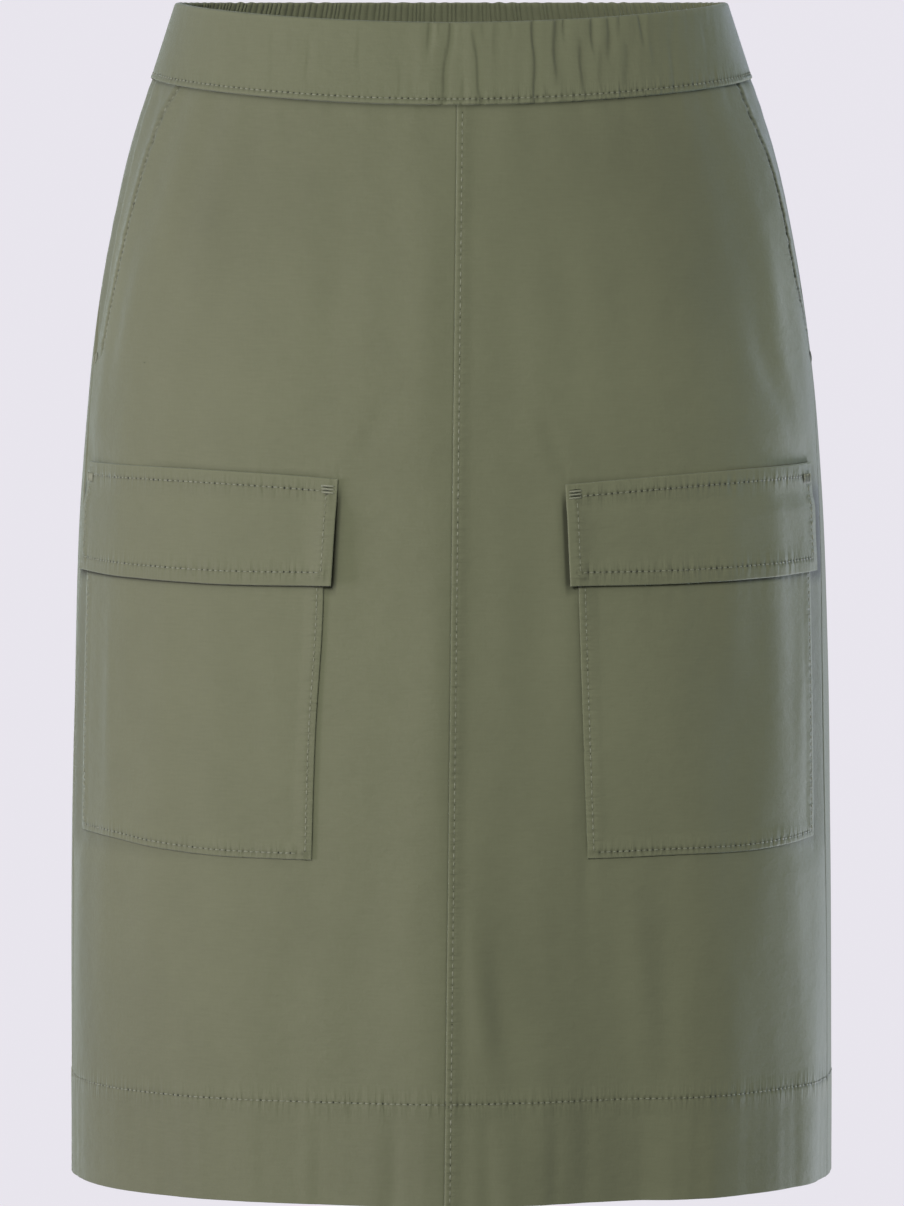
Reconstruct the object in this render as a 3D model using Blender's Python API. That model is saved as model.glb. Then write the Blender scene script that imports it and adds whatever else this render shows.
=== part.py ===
"""Cargo utility skirt: a hollow, worn form with every cut-and-sewn piece as its own closed wall of cloth.

Metres, +Z up. The skirt hangs from its waistband: the origin is the middle of the waist at the level of the
waistband's top edge, and the front faces -Y. In names, left and right are the viewer's: left is at -X.

Cloth is placed by two distances, as on the real garment: `arc`, along the cloth round the body from the
middle of the front towards +X, and `below`, the depth under the waist's top edge.
"""

from collections import namedtuple
from math import pi

import bpy
import numpy as np

# ------------------------------------------------------------------ sizes

LENGTH = 0.583
CLOTH = 0.0010
HEM_CLOTH = 0.0019
HEM_DEPTH = 0.050
SEAM_GAP = 0.0003

BAND_DEPTH = 0.038
BAND_PROUD = 0.0006
BAND_INSIDE = 0.0020
WAIST_DIP = 0.0095
BAND_FOOT_DIP = 0.0118
DIP_SHARE = 0.92
DIP_POWER = 1.2

CENTRE_SEAM_TOP = 0.0032
CENTRE_SEAM_HEM = -0.0035

Section = namedtuple("Section", "below half_width front_depth back_depth squareness left_seam right_seam")

# One row for each level ring. The seams are shares of the quarter round from the middle front to the side.
SECTIONS = (
    Section(0.000, 0.1370, 0.095, 0.092, 2.15, 1.030, 1.030),
    Section(0.038, 0.1493, 0.106, 0.104, 2.20, 1.025, 1.025),
    Section(0.075, 0.1610, 0.116, 0.116, 2.25, 0.985, 1.005),
    Section(0.120, 0.1708, 0.124, 0.127, 2.30, 0.932, 0.967),
    Section(0.180, 0.1795, 0.131, 0.136, 2.35, 0.892, 0.925),
    Section(0.240, 0.1847, 0.135, 0.139, 2.40, 0.888, 0.882),
    Section(0.320, 0.1879, 0.138, 0.139, 2.45, 0.888, 0.845),
    Section(0.420, 0.1899, 0.141, 0.139, 2.50, 0.888, 0.832),
    Section(0.520, 0.1905, 0.144, 0.140, 2.50, 0.888, 0.838),
    Section(0.583, 0.1904, 0.145, 0.141, 2.50, 0.888, 0.842),
)

HipPocket = namedtuple("HipPocket", "below left_edge right_edge")

# The slanted pocket openings: cloth distance from the middle front to the opening's edge on each side.
HIP_POCKET = (
    HipPocket(0.036, 0.1800, 0.1830),
    HipPocket(0.062, 0.1890, 0.1965),
    HipPocket(0.090, 0.1965, 0.2035),
    HipPocket(0.120, 0.2060, 0.2125),
    HipPocket(0.150, 0.2125, 0.2235),
    HipPocket(0.176, 0.2210, 0.2330),
)
HIP_POCKET_FOOT = 0.176
FACING_FOOT = 0.172
FACING_UNDERLAP = 0.012
FACING_CLEAR = 0.0007
FACING_FLAT = 0.004
FACING_RISE = 0.012
FACING_COLUMNS = 7
FACING_LAST_ROW = 0.004

PatchEdge = namedtuple("PatchEdge", "below left_inner left_outer right_inner right_outer")

# The cargo pockets' side edges, by depth below the waist.
POCKET_TOP = 0.250
POCKET_EDGES = (
    PatchEdge(0.250, 0.0610, 0.2180, 0.0605, 0.2075),
    PatchEdge(0.300, 0.0622, 0.2190, 0.0620, 0.2082),
    PatchEdge(0.350, 0.0655, 0.2200, 0.0638, 0.2090),
    PatchEdge(0.430, 0.0680, 0.2210, 0.0668, 0.2100),
)
FLAP_EDGES = (
    PatchEdge(0.225, 0.0542, 0.2235, 0.0546, 0.2140),
    PatchEdge(0.290, 0.0580, 0.2240, 0.0573, 0.2120),
)

PatchLine = namedtuple("PatchLine", "share left_below right_below")

# Depth of the flaps' and pockets' level edges, from the inner corner (0) to the outer corner (1).
FLAP_TOP = (
    PatchLine(0.00, 0.2303, 0.2330),
    PatchLine(0.15, 0.2286, 0.2312),
    PatchLine(0.35, 0.2271, 0.2292),
    PatchLine(0.60, 0.2263, 0.2275),
    PatchLine(1.00, 0.2268, 0.2268),
)
FLAP_FOOT = (
    PatchLine(0.00, 0.2820, 0.2822),
    PatchLine(0.35, 0.2822, 0.2820),
    PatchLine(0.60, 0.2812, 0.2812),
    PatchLine(1.00, 0.2800, 0.2800),
)
POCKET_FOOT = (
    PatchLine(0.00, 0.4152, 0.4148),
    PatchLine(0.38, 0.4141, 0.4140),
    PatchLine(0.58, 0.4118, 0.4140),
    PatchLine(0.76, 0.4093, 0.4128),
    PatchLine(1.00, 0.4088, 0.4110),
)
FLAP_CLOTH = 0.0014
FLAP_STEP = 0.006
FLAP_STEP_ABOVE = 0.002
FLAP_MIDDLE = 0.265
POCKET_LAST_ROW = 0.008

# Under a pocket's outer side the panel lies in a little, so that the layers stay level with the side.
PATCH_SINK = 0.0020
PATCH_SINK_INNER = 0.055
PATCH_SINK_OUTER = 0.018
PATCH_SINK_ABOVE = 0.022
PATCH_SINK_BELOW = 0.018

# The middle front stands out in a soft ridge, just left of its seam, that grows towards the hem.
RidgeRow = namedtuple("RidgeRow", "below height")
RIDGE = (
    RidgeRow(0.050, 0.0),
    RidgeRow(0.085, 0.0026),
    RidgeRow(0.140, 0.0046),
    RidgeRow(0.300, 0.0072),
    RidgeRow(0.583, 0.0110),
)
RIDGE_ARC = -0.010
RIDGE_ROUND = 0.007
RIDGE_REACH = 0.070

Fold = namedtuple("Fold", "from_arc from_below to_arc to_below width height")

# The largest soft folds: ridges are positive, troughs negative. Arcs past a half girth lie on the back.
FOLDS = (
    Fold(-0.014, 0.290, -0.014, 0.640, 0.012, 0.0010),
    Fold(0.018, 0.390, 0.036, 0.590, 0.010, -0.0009),
    Fold(0.076, 0.450, 0.076, 0.700, 0.022, -0.0016),
    Fold(0.086, 0.300, 0.086, 0.760, 0.030, -0.0036),
    Fold(0.088, 0.360, 0.102, 0.600, 0.011, 0.0012),
    Fold(0.122, 0.360, 0.126, 0.720, 0.022, 0.0022),
    Fold(0.147, 0.270, 0.149, 0.440, 0.022, -0.0018),
    Fold(0.160, 0.430, 0.158, 0.620, 0.020, -0.0016),
    Fold(0.206, 0.420, 0.204, 0.640, 0.014, 0.0016),
    Fold(-0.158, 0.080, -0.190, 0.215, 0.012, 0.0010),
    Fold(0.155, 0.140, 0.203, 0.232, 0.012, -0.0012),
    Fold(0.098, 0.090, 0.098, 0.190, 0.030, 0.0010),
    Fold(-0.115, 0.420, -0.118, 0.640, 0.024, 0.0009),
    Fold(-0.160, 0.440, -0.158, 0.640, 0.018, -0.0007),
    Fold(0.345, 0.180, 0.350, 0.640, 0.026, 0.0034),
    Fold(0.410, 0.230, 0.405, 0.640, 0.024, -0.0032),
    Fold(0.478, 0.150, 0.470, 0.640, 0.030, 0.0030),
    Fold(0.540, 0.260, 0.545, 0.640, 0.024, -0.0030),
    Fold(0.605, 0.140, 0.620, 0.640, 0.028, 0.0034),
    Fold(0.680, 0.300, 0.690, 0.640, 0.022, -0.0028),
    Fold(0.750, 0.200, 0.760, 0.640, 0.024, 0.0028),
)

BandFold = namedtuple("BandFold", "arc lean width height reach")

# Soft folds across the front waistband: `reach` is the share of the band's depth that each one runs down.
BAND_FOLDS = (
    BandFold(-0.0740, 0.001, 0.0028, 0.0004, 1.0),
    BandFold(-0.0125, 0.001, 0.0020, 0.0009, 0.8),
    BandFold(-0.0030, -0.004, 0.0022, 0.0012, 1.0),
    BandFold(0.0120, 0.002, 0.0020, 0.0010, 1.0),
    BandFold(0.0410, 0.001, 0.0022, 0.0007, 0.8),
    BandFold(0.0530, 0.002, 0.0020, 0.0008, 1.0),
    BandFold(0.0600, 0.000, 0.0016, 0.0007, 0.5),
    BandFold(0.0680, 0.001, 0.0018, 0.0008, 0.9),
    BandFold(0.0765, 0.002, 0.0020, 0.0009, 1.0),
    BandFold(0.0850, 0.001, 0.0018, 0.0007, 0.8),
    BandFold(0.1040, 0.000, 0.0020, 0.0007, 0.6),
    BandFold(0.1280, 0.001, 0.0024, 0.0005, 1.0),
)

# Columns of points: even ones, and some across each fold, none closer than this.
BAND_COLUMNS = 29
BAND_FOLD_STEPS = (-1.6, -0.8, 0.0, 0.8, 1.6)
BAND_CLOSEST = 0.0011
BAND_FADE = 0.5

BACK_GATHERS = 132
GATHER_HEIGHT = 0.0009
PANEL_GATHERS = 40
PANEL_GATHER_HEIGHT = 0.0016
PANEL_GATHER_SINK = 0.0007
GATHER_POINTS = 4
GATHER_SEED = 11

# Columns of each front panel: before the pocket, under it and beyond it.
FRONT_COLUMNS = (4, 11, 1)

# Every panel has a row of points at these depths, so that the edges on the two sides of a seam match.
PANEL_TOP = BAND_DEPTH + SEAM_GAP
HEM_TOP = LENGTH - HEM_DEPTH
GATHER_LEVELS = (PANEL_TOP, 0.058, 0.078, 0.098, 0.118)
LOWER_LEVELS = (0.138, 0.157, 0.176, 0.200, 0.225, 0.250, 0.275, 0.300, 0.330, 0.370, 0.410, 0.450, 0.490)
HEM_STEP = 0.002
HEM_LEVELS = (HEM_TOP - HEM_STEP, HEM_TOP, LENGTH)

Finish = namedtuple("Finish", "colour roughness")

FINISHES = {
    "shell": Finish((0.152, 0.158, 0.104, 1.0), 0.88),
    "waistband": Finish((0.146, 0.152, 0.098, 1.0), 0.88),
    "pocket": Finish((0.156, 0.162, 0.107, 1.0), 0.88),
    "flap": Finish((0.160, 0.166, 0.110, 1.0), 0.88),
    "facing": Finish((0.128, 0.134, 0.088, 1.0), 0.90),
}

LEFT = -1
RIGHT = 1


# ------------------------------------------------------------------ tables read smoothly


def smooth_rows(rows, column, where):
    """A column of a table at `where`, along a curve through its rows with no kinks."""
    places = np.array([row[0] for row in rows])
    values = np.array([getattr(row, column) for row in rows])
    slopes = np.gradient(values, places)
    where = np.clip(where, places[0], places[-1])
    index = np.clip(np.searchsorted(places, where, side="right") - 1, 0, len(places) - 2)
    step = places[index + 1] - places[index]
    t = (where - places[index]) / step
    start = values[index] * (1 + 2 * t) * (1 - t) ** 2 + slopes[index] * step * t * (1 - t) ** 2
    end = values[index + 1] * t * t * (3 - 2 * t) + slopes[index + 1] * step * t * t * (t - 1)
    return start + end


def ease(t):
    """0 to 1 with level ends."""
    t = np.clip(t, 0.0, 1.0)
    return t * t * (3 - 2 * t)


# ------------------------------------------------------------------ the worn form

RING_STEP = 0.002
RING_LEVELS = np.arange(0.0, LENGTH + 2 * RING_STEP, RING_STEP)
RING_ANGLES = np.linspace(-pi, 2 * pi, 2161)


def ring_radius(angle, below):
    """Distance from the middle to the cloth's outer face, at an angle from the front (0) towards +X."""
    half_width = smooth_rows(SECTIONS, "half_width", below)
    front = smooth_rows(SECTIONS, "front_depth", below)
    back = smooth_rows(SECTIONS, "back_depth", below)
    power = smooth_rows(SECTIONS, "squareness", below)
    depth = np.where(np.cos(angle) >= 0, front, back)
    across = np.abs(np.sin(angle) / half_width) ** power
    along = np.abs(np.cos(angle) / depth) ** power
    return (across + along) ** (-1 / power)


def arc_table():
    """Cloth distance from the middle front, for each level (rows) and angle (columns)."""
    radius = ring_radius(RING_ANGLES[None, :], RING_LEVELS[:, None])
    x = radius * np.sin(RING_ANGLES)
    y = -radius * np.cos(RING_ANGLES)
    steps = np.hypot(np.diff(x, axis=1), np.diff(y, axis=1))
    arcs = np.concatenate([np.zeros((len(RING_LEVELS), 1)), np.cumsum(steps, axis=1)], axis=1)
    return arcs - arcs[:, [len(RING_ANGLES) // 3]]


ARCS = arc_table()
ARC_SPEED = np.gradient(ARCS, RING_ANGLES, axis=1)


def read_table(table, angle, below):
    """The table's value between its levels and angles."""
    row = np.clip(below / RING_STEP, 0, len(RING_LEVELS) - 1.001)
    column = (angle - RING_ANGLES[0]) / (RING_ANGLES[1] - RING_ANGLES[0])
    column = np.clip(column, 0, len(RING_ANGLES) - 1.001)
    i = row.astype(int)
    j = column.astype(int)
    down = row - i
    along = column - j
    upper = table[i, j] * (1 - along) + table[i, j + 1] * along
    lower = table[i + 1, j] * (1 - along) + table[i + 1, j + 1] * along
    return upper * (1 - down) + lower * down


def girth_at(below):
    """Cloth distance all the way round."""
    below = np.asarray(below, float)
    return 2 * read_table(ARCS, np.full_like(below, pi), below)


def quarter_at(below):
    """Cloth distance from the middle front to the side."""
    below = np.asarray(below, float)
    return read_table(ARCS, np.full_like(below, pi / 2), below)


def angle_at(arc, below):
    """The angle at which the cloth distance from the middle front is `arc`."""
    angle = arc / girth_at(below) * 2 * pi
    for _ in range(8):
        angle = angle + (arc - read_table(ARCS, angle, below)) / read_table(ARC_SPEED, angle, below)
    return angle


def cloth_points(arc, below, lift):
    """Points on the worn form, moved out level by `lift`."""
    arc, below, lift = np.broadcast_arrays(arc, below, lift)
    angle = angle_at(arc, below)
    radius = ring_radius(angle, below)
    nudge = 1e-4
    ahead = ring_radius(angle + nudge, below)
    behind = ring_radius(angle - nudge, below)
    run_x = ahead * np.sin(angle + nudge) - behind * np.sin(angle - nudge)
    run_y = behind * np.cos(angle - nudge) - ahead * np.cos(angle + nudge)
    run = np.hypot(run_x, run_y)
    x = radius * np.sin(angle) + lift * run_y / run
    y = -radius * np.cos(angle) - lift * run_x / run
    return np.stack([x, y, -below], axis=-1)


# ------------------------------------------------------------------ edges and seams


def dip_at(arc):
    """0 at the sides and the back to 1 at the middle front."""
    share = np.abs(arc) / (quarter_at(BAND_DEPTH) * DIP_SHARE)
    return np.cos(pi / 2 * np.clip(share, 0, 1)) ** DIP_POWER


def band_top(arc):
    return WAIST_DIP * dip_at(arc)


def band_foot(arc):
    return BAND_DEPTH + BAND_FOOT_DIP * dip_at(arc)


def centre_seam(below):
    return CENTRE_SEAM_TOP + (CENTRE_SEAM_HEM - CENTRE_SEAM_TOP) * below / LENGTH


def side_seam(side, below):
    """Cloth distance from the middle front to the side seam, always positive."""
    column = "left_seam" if side == LEFT else "right_seam"
    return smooth_rows(SECTIONS, column, below) * quarter_at(below)


def opening_edge(side, below):
    column = "left_edge" if side == LEFT else "right_edge"
    return smooth_rows(HIP_POCKET, column, below)


def front_edge(side, below):
    """The front panel's outer edge: the slanted pocket opening, then the side seam."""
    seam = side_seam(side, below) - SEAM_GAP / 2
    opening = opening_edge(side, below)
    return np.where(below < HIP_POCKET_FOOT, np.minimum(opening, seam), seam)


def patch_arc(side, edges, below, across):
    """Cloth distance at a share of the way from a patch's inner edge to its outer one."""
    word = "left" if side == LEFT else "right"
    inner = smooth_rows(edges, word + "_inner", below)
    outer = smooth_rows(edges, word + "_outer", below)
    return inner + (outer - inner) * across


def patch_line(side, line, across):
    return smooth_rows(line, "left_below" if side == LEFT else "right_below", across)


def patch_sink(side, arc, below):
    edge = patch_arc(side, POCKET_EDGES, below, 1.0)
    beyond = side * arc - edge
    sideways = ease(1 + beyond / PATCH_SINK_INNER) * ease(1 - beyond / PATCH_SINK_OUTER)
    top = patch_line(side, FLAP_TOP, 1.0)
    foot = patch_line(side, POCKET_FOOT, 1.0)
    upright = ease(1 + (below - top) / PATCH_SINK_ABOVE) * ease(1 - (below - foot) / PATCH_SINK_BELOW)
    return -PATCH_SINK * sideways * upright


def ridge_lift(arc, below):
    """A ridge with a rounded crest and nearly straight flanks."""
    away = np.hypot(arc - RIDGE_ARC, RIDGE_ROUND) / RIDGE_REACH
    return smooth_rows(RIDGE, "height", below) * (1 - np.tanh(away))


def fold_lift(arc, below):
    """How far the large soft folds move the cloth out (ridges) or in (troughs)."""
    lift = patch_sink(LEFT, arc, below) + patch_sink(RIGHT, arc, below) + ridge_lift(arc, below)
    for fold in FOLDS:
        along = (below - fold.from_below) / (fold.to_below - fold.from_below)
        middle = fold.from_arc + (fold.to_arc - fold.from_arc) * along
        strength = np.sin(pi * np.clip(along, 0, 1)) ** 2
        lift = lift + fold.height * strength * np.exp(-(((arc - middle) / fold.width) ** 2))
    return lift


# ------------------------------------------------------------------ solids


def material_for(name, slot):
    finish = FINISHES[slot]
    material = bpy.data.materials.new(name)
    material.use_nodes = True
    shader = material.node_tree.nodes["Principled BSDF"]
    shader.inputs["Base Color"].default_value = finish.colour
    shader.inputs["Roughness"].default_value = finish.roughness
    shader.inputs["Metallic"].default_value = 0.0
    return material


def closed_wall(name, slot, outer, inner, faces):
    """A closed wall of cloth between two faces with the same layout, joined round every free edge."""
    count = len(outer)
    edges = {}
    for face in faces:
        for start, end in zip(face, face[1:] + face[:1]):
            edges[(start, end)] = True
    walls = list(faces)
    for face in faces:
        walls.append(tuple(count + point for point in reversed(face)))
    for start, end in edges:
        if (end, start) not in edges:
            walls.append((end, start, count + start, count + end))
    mesh = bpy.data.meshes.new(name)
    points = np.concatenate([outer, inner])
    mesh.from_pydata(points.tolist(), [], walls)
    mesh.materials.append(material_for(name, slot))
    mesh.update()
    mesh.shade_smooth()
    mesh.set_sharp_from_angle(angle=pi / 4)
    obj = bpy.data.objects.new(name, mesh)
    bpy.context.scene.collection.objects.link(obj)
    return obj


def grid_faces(rows, columns, first=0):
    """Faces of a grid whose rows run down and whose columns run with the arc, facing out."""
    faces = []
    for i in range(rows - 1):
        for j in range(columns - 1):
            corner = first + i * columns + j
            faces.append((corner, corner + columns, corner + columns + 1, corner + 1))
    return faces


def grid_wall(name, slot, arc, below, outer_lift, inner_lift):
    rows, columns = arc.shape
    outer = cloth_points(arc, below, outer_lift).reshape(-1, 3)
    inner = cloth_points(arc, below, inner_lift).reshape(-1, 3)
    return closed_wall(name, slot, outer, inner, grid_faces(rows, columns))


# ------------------------------------------------------------------ waistband


def waistband_front():
    """The smooth front waistband: two layers, a few soft folds, dipping towards the middle front."""
    reach = side_seam(RIGHT, BAND_DEPTH)
    columns = set(np.linspace(-1, 1, BAND_COLUMNS) * (reach - SEAM_GAP / 2))
    for fold in BAND_FOLDS:
        for step in BAND_FOLD_STEPS:
            columns.add(fold.arc + step * fold.width)
    places = sorted(columns)
    kept = [places[0]]
    for place in places[1:-1]:
        if place - kept[-1] > BAND_CLOSEST and places[-1] - place > BAND_CLOSEST:
            kept.append(place)
    kept.append(places[-1])
    base = np.array(kept)
    down = np.linspace(0, 1, 3)[:, None]
    # The band widens with the body, so its ends are set level by level.
    below = band_top(base) + (band_foot(base) - band_top(base)) * down
    edge = (side_seam(RIGHT, below) - SEAM_GAP / 2) / (reach - SEAM_GAP / 2)
    arc = base * edge
    bulge = np.zeros(arc.shape)
    for fold in BAND_FOLDS:
        middle = fold.arc + fold.lean * down
        fade = ease((fold.reach + BAND_FADE / 2 - down) / BAND_FADE)
        bulge = bulge + fold.height * fade * np.exp(-(((base - middle) / fold.width) ** 2))
    return grid_wall(
        "waistband_front", "waistband", arc, below, BAND_PROUD + bulge, -BAND_INSIDE - bulge / 2
    )


def gather_places(count, seed):
    """Uneven crests: shares of the way along, with a height for each."""
    dice = np.random.default_rng(seed)
    widths = dice.uniform(0.60, 1.40, count)
    ends = np.concatenate([[0], np.cumsum(widths)]) / widths.sum()
    return ends, dice.uniform(0.65, 1.0, count), dice.uniform(0.45, 1.0, count)


def gather_columns(ends, heights):
    """Shares and crest heights for GATHER_POINTS columns in each gather."""
    places = []
    crests = []
    for start, end, height in zip(ends, ends[1:], heights):
        for k in range(GATHER_POINTS):
            places.append(start + (end - start) * k / GATHER_POINTS)
            crests.append(height * (0.5 - 0.5 * np.cos(2 * pi * k / GATHER_POINTS)))
    return np.array(places + [1.0]), np.array(crests + [0.0])


def back_arc(share, below):
    """The arc at a share of the way round the back, from the right side seam to the left one."""
    start = side_seam(RIGHT, below) + SEAM_GAP / 2
    end = girth_at(below) - side_seam(LEFT, below) - SEAM_GAP / 2
    return start + (end - start) * share


def waistband_back():
    """The elasticated back waistband, gathered on both faces."""
    ends, heights, _ = gather_places(BACK_GATHERS, GATHER_SEED)
    share, crest = gather_columns(ends, heights)
    down = np.linspace(0, 1, 2)[:, None]
    below = BAND_DEPTH * down + np.zeros(len(share))
    arc = back_arc(share, below)
    bulge = GATHER_HEIGHT * crest
    return grid_wall("waistband_back", "waistband", arc, below, bulge, -BAND_INSIDE - 0.7 * bulge)


# ------------------------------------------------------------------ panels


def panel_wall(below):
    """Cloth thickness: doubled where the hem is turned up inside."""
    return np.where(below > HEM_TOP - HEM_STEP / 2, HEM_CLOTH, CLOTH)


def front_grid(side):
    """Arcs (taken positive) and depths of a front panel's points, from the middle seam outwards.

    A column of points runs along each side edge of the cargo pocket, so that the pocket is built on them.
    """
    before, under, after = FRONT_COLUMNS
    zone = np.concatenate(
        [np.arange(before) / before, 1 + np.arange(under) / under, 2 + np.linspace(0, 1, after + 1)]
    )
    levels = np.array(GATHER_LEVELS + LOWER_LEVELS + HEM_LEVELS)[:, None]
    down = (levels - PANEL_TOP) / (LENGTH - PANEL_TOP)
    below = levels + 0 * zone
    for _ in range(8):
        start = side * centre_seam(below) + SEAM_GAP / 2
        width = front_edge(side, below) - start
        at_pocket = np.clip(below, FLAP_TOP[0].left_below, POCKET_FOOT[1].left_below + HEM_DEPTH)
        pocket_start = side * centre_seam(at_pocket) + SEAM_GAP / 2
        pocket_width = front_edge(side, at_pocket) - pocket_start
        inner = (patch_arc(side, POCKET_EDGES, at_pocket, 0.0) - pocket_start) / pocket_width
        outer = (patch_arc(side, POCKET_EDGES, at_pocket, 1.0) - pocket_start) / pocket_width
        share = inner * np.clip(zone, 0, 1)
        share = share + (outer - inner) * np.clip(zone - 1, 0, 1)
        share = share + (1 - outer) * np.clip(zone - 2, 0, 1)
        arc = start + width * share
        top = band_foot(arc[:1]) + SEAM_GAP
        below = top + (LENGTH - top) * down
    return arc, below


def front_panel(side):
    """Half of the front, from the middle front seam to the pocket opening and the side seam."""
    arc, below = front_grid(side)
    if side == LEFT:
        arc = -arc[:, ::-1]
        below = below[:, ::-1]
    lift = fold_lift(arc, below)
    name = "front_panel_left" if side == LEFT else "front_panel_right"
    return grid_wall(name, "shell", arc, below, lift, lift - panel_wall(below))


def back_panel():
    """The back in one piece: fine columns hold the gathers under the waistband, coarse ones the rest."""
    ends, heights, lengths = gather_places(PANEL_GATHERS, GATHER_SEED + 1)
    share, crest = gather_columns(ends, heights)
    levels = np.array(GATHER_LEVELS)[:, None]
    fine_rows = (levels - levels[0]) / (levels[-1] - levels[0])
    fine_below = levels + np.zeros(len(share))
    reach = np.append(np.repeat(lengths, GATHER_POINTS), lengths[-1])
    fade = np.clip(1 - fine_rows / reach, 0, 1) ** 1.5
    sink = PANEL_GATHER_SINK * (1 - ease(fine_rows * 2))
    gathers = PANEL_GATHER_HEIGHT * crest * fade - sink
    fine_arc = back_arc(share, fine_below)
    coarse_share = share[::GATHER_POINTS]
    coarse_below = np.array(LOWER_LEVELS + HEM_LEVELS)[:, None] + np.zeros(len(coarse_share))
    coarse_arc = back_arc(coarse_share, coarse_below)
    arc = np.concatenate([fine_arc.ravel(), coarse_arc.ravel()])
    below = np.concatenate([fine_below.ravel(), coarse_below.ravel()])
    lift = fold_lift(arc, below)
    lift[: fine_arc.size] += gathers.ravel()
    faces = grid_faces(*fine_arc.shape)
    faces += grid_faces(*coarse_arc.shape, fine_arc.size)
    last_fine = fine_arc.size - len(share)
    for cell in range(PANEL_GATHERS):
        upper = last_fine + cell * GATHER_POINTS
        lower = fine_arc.size + cell
        half = GATHER_POINTS // 2
        for k in range(half):
            faces.append((upper + k, lower, upper + k + 1))
        faces.append((upper + half, lower, lower + 1))
        for k in range(half, GATHER_POINTS):
            faces.append((upper + k, lower + 1, upper + k + 1))
    outer = cloth_points(arc, below, lift)
    inner = cloth_points(arc, below, lift - panel_wall(below))
    return closed_wall("back_panel", "shell", outer, inner, faces)


# ------------------------------------------------------------------ pockets


def hip_facing(side):
    """The cloth seen inside the slanted opening: under the front panel, rising to the side seam."""
    across = np.linspace(0, 1, FACING_COLUMNS)
    levels = [level for level in GATHER_LEVELS + LOWER_LEVELS if level < FACING_FOOT - FACING_LAST_ROW]
    down = (np.array(levels + [FACING_FOOT])[:, None] - PANEL_TOP) / (FACING_FOOT - PANEL_TOP)
    top = np.full(across.shape, BAND_DEPTH)
    for _ in range(6):
        start = opening_edge(side, top) - FACING_UNDERLAP
        end = side_seam(side, top) - SEAM_GAP / 2
        top = band_foot(start + (end - start) * across) + SEAM_GAP
    below = top + (FACING_FOOT - top) * down
    start = opening_edge(side, below) - FACING_UNDERLAP
    end = side_seam(side, below) - SEAM_GAP / 2
    arc = start + (end - start) * across
    beyond = arc - opening_edge(side, below) - FACING_FLAT
    sink = (CLOTH + FACING_CLEAR) * (1 - ease(beyond / FACING_RISE))
    arc = side * arc
    if side == LEFT:
        arc = arc[:, ::-1]
        below = below[:, ::-1]
        sink = sink[:, ::-1]
    lift = fold_lift(arc, below) - sink
    name = "hip_facing_left" if side == LEFT else "hip_facing_right"
    return grid_wall(name, "facing", arc, below, lift, lift - CLOTH)


def between(grid, row, column):
    """A grid's value between its rows and columns."""
    i = np.clip(row.astype(int), 0, grid.shape[0] - 2)
    j = np.clip(column.astype(int), 0, grid.shape[1] - 2)
    down = row - i
    along = column - j
    if grid.ndim == 3:
        down = down[..., None]
        along = along[..., None]
    upper = grid[i, j] * (1 - along) + grid[i, j + 1] * along
    lower = grid[i + 1, j] * (1 - along) + grid[i + 1, j + 1] * along
    return upper * (1 - down) + lower * down


def wall_on_front(name, slot, side, row, column, outer_lift, inner_lift):
    """A wall that lies on the front panel's own faces, moved out: `row` and `column` count its points."""
    arc, below = front_grid(side)
    lift = fold_lift(side * arc, below)
    panel = cloth_points(side * arc, below, lift)
    outward = (cloth_points(side * arc, below, lift + CLOTH) - panel) / CLOTH
    base = between(panel, row, column)
    way_out = between(outward, row, column)
    outer = base + way_out * outer_lift[..., None]
    inner = base + way_out * inner_lift[..., None]
    if side == LEFT:
        outer = outer[:, ::-1]
        inner = inner[:, ::-1]
    faces = grid_faces(*row.shape)
    return closed_wall(name, slot, outer.reshape(-1, 3), inner.reshape(-1, 3), faces)


def rows_at(side, depths, columns):
    """Where each depth falls among the front panel's rows, column by column."""
    _, below = front_grid(side)
    counts = np.arange(len(below))
    found = [np.interp(depths[:, k], below[:, round(column)], counts) for k, column in enumerate(columns)]
    return np.array(found).T


def cargo_pocket(side):
    """A patch pocket lying on the front panel. Its top edge is under the flap."""
    before, under, _ = FRONT_COLUMNS
    columns = np.arange(before, before + under + 1)
    across = (columns - before) / under
    foot = patch_line(side, POCKET_FOOT, across)
    last = foot - POCKET_LAST_ROW
    levels = [level + 0 * across for level in LOWER_LEVELS if POCKET_TOP <= level < last.min()]
    row = rows_at(side, np.array(levels + [last, foot]), columns)
    name = "cargo_pocket_left" if side == LEFT else "cargo_pocket_right"
    lift = np.full(row.shape, SEAM_GAP)
    return wall_on_front(name, "pocket", side, row, columns + 0 * row, lift + CLOTH, lift)


def pocket_flap(side):
    """The pocket flap: sewn to the panel along its top, then lying over the pocket."""
    before, under, _ = FRONT_COLUMNS
    columns = np.arange(before - 1, before + under + 2)
    across = np.clip((columns - before) / under, 0, 1)
    step = POCKET_TOP - FLAP_STEP_ABOVE + 0 * across
    top = patch_line(side, FLAP_TOP, across)
    foot = patch_line(side, FLAP_FOOT, across)
    depths = np.array([top, step - FLAP_STEP, step, FLAP_MIDDLE + 0 * across, foot])
    row = rows_at(side, depths, columns)
    arc, _ = front_grid(side)
    column = columns + 0 * row
    for k, edge in ((0, 0.0), (-1, 1.0)):
        for i in range(len(row)):
            whole = np.arange(arc.shape[1])
            arcs = between(arc, np.full(len(whole), row[i, k]), whole.astype(float))
            column[i, k] = np.interp(patch_arc(side, FLAP_EDGES, depths[i, k], edge), arcs, whole)
    over_pocket = ease((depths - step + FLAP_STEP) / FLAP_STEP)
    lift = SEAM_GAP + (CLOTH + SEAM_GAP) * over_pocket
    name = "pocket_flap_left" if side == LEFT else "pocket_flap_right"
    return wall_on_front(name, "flap", side, row, column, lift + FLAP_CLOTH, lift)


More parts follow.
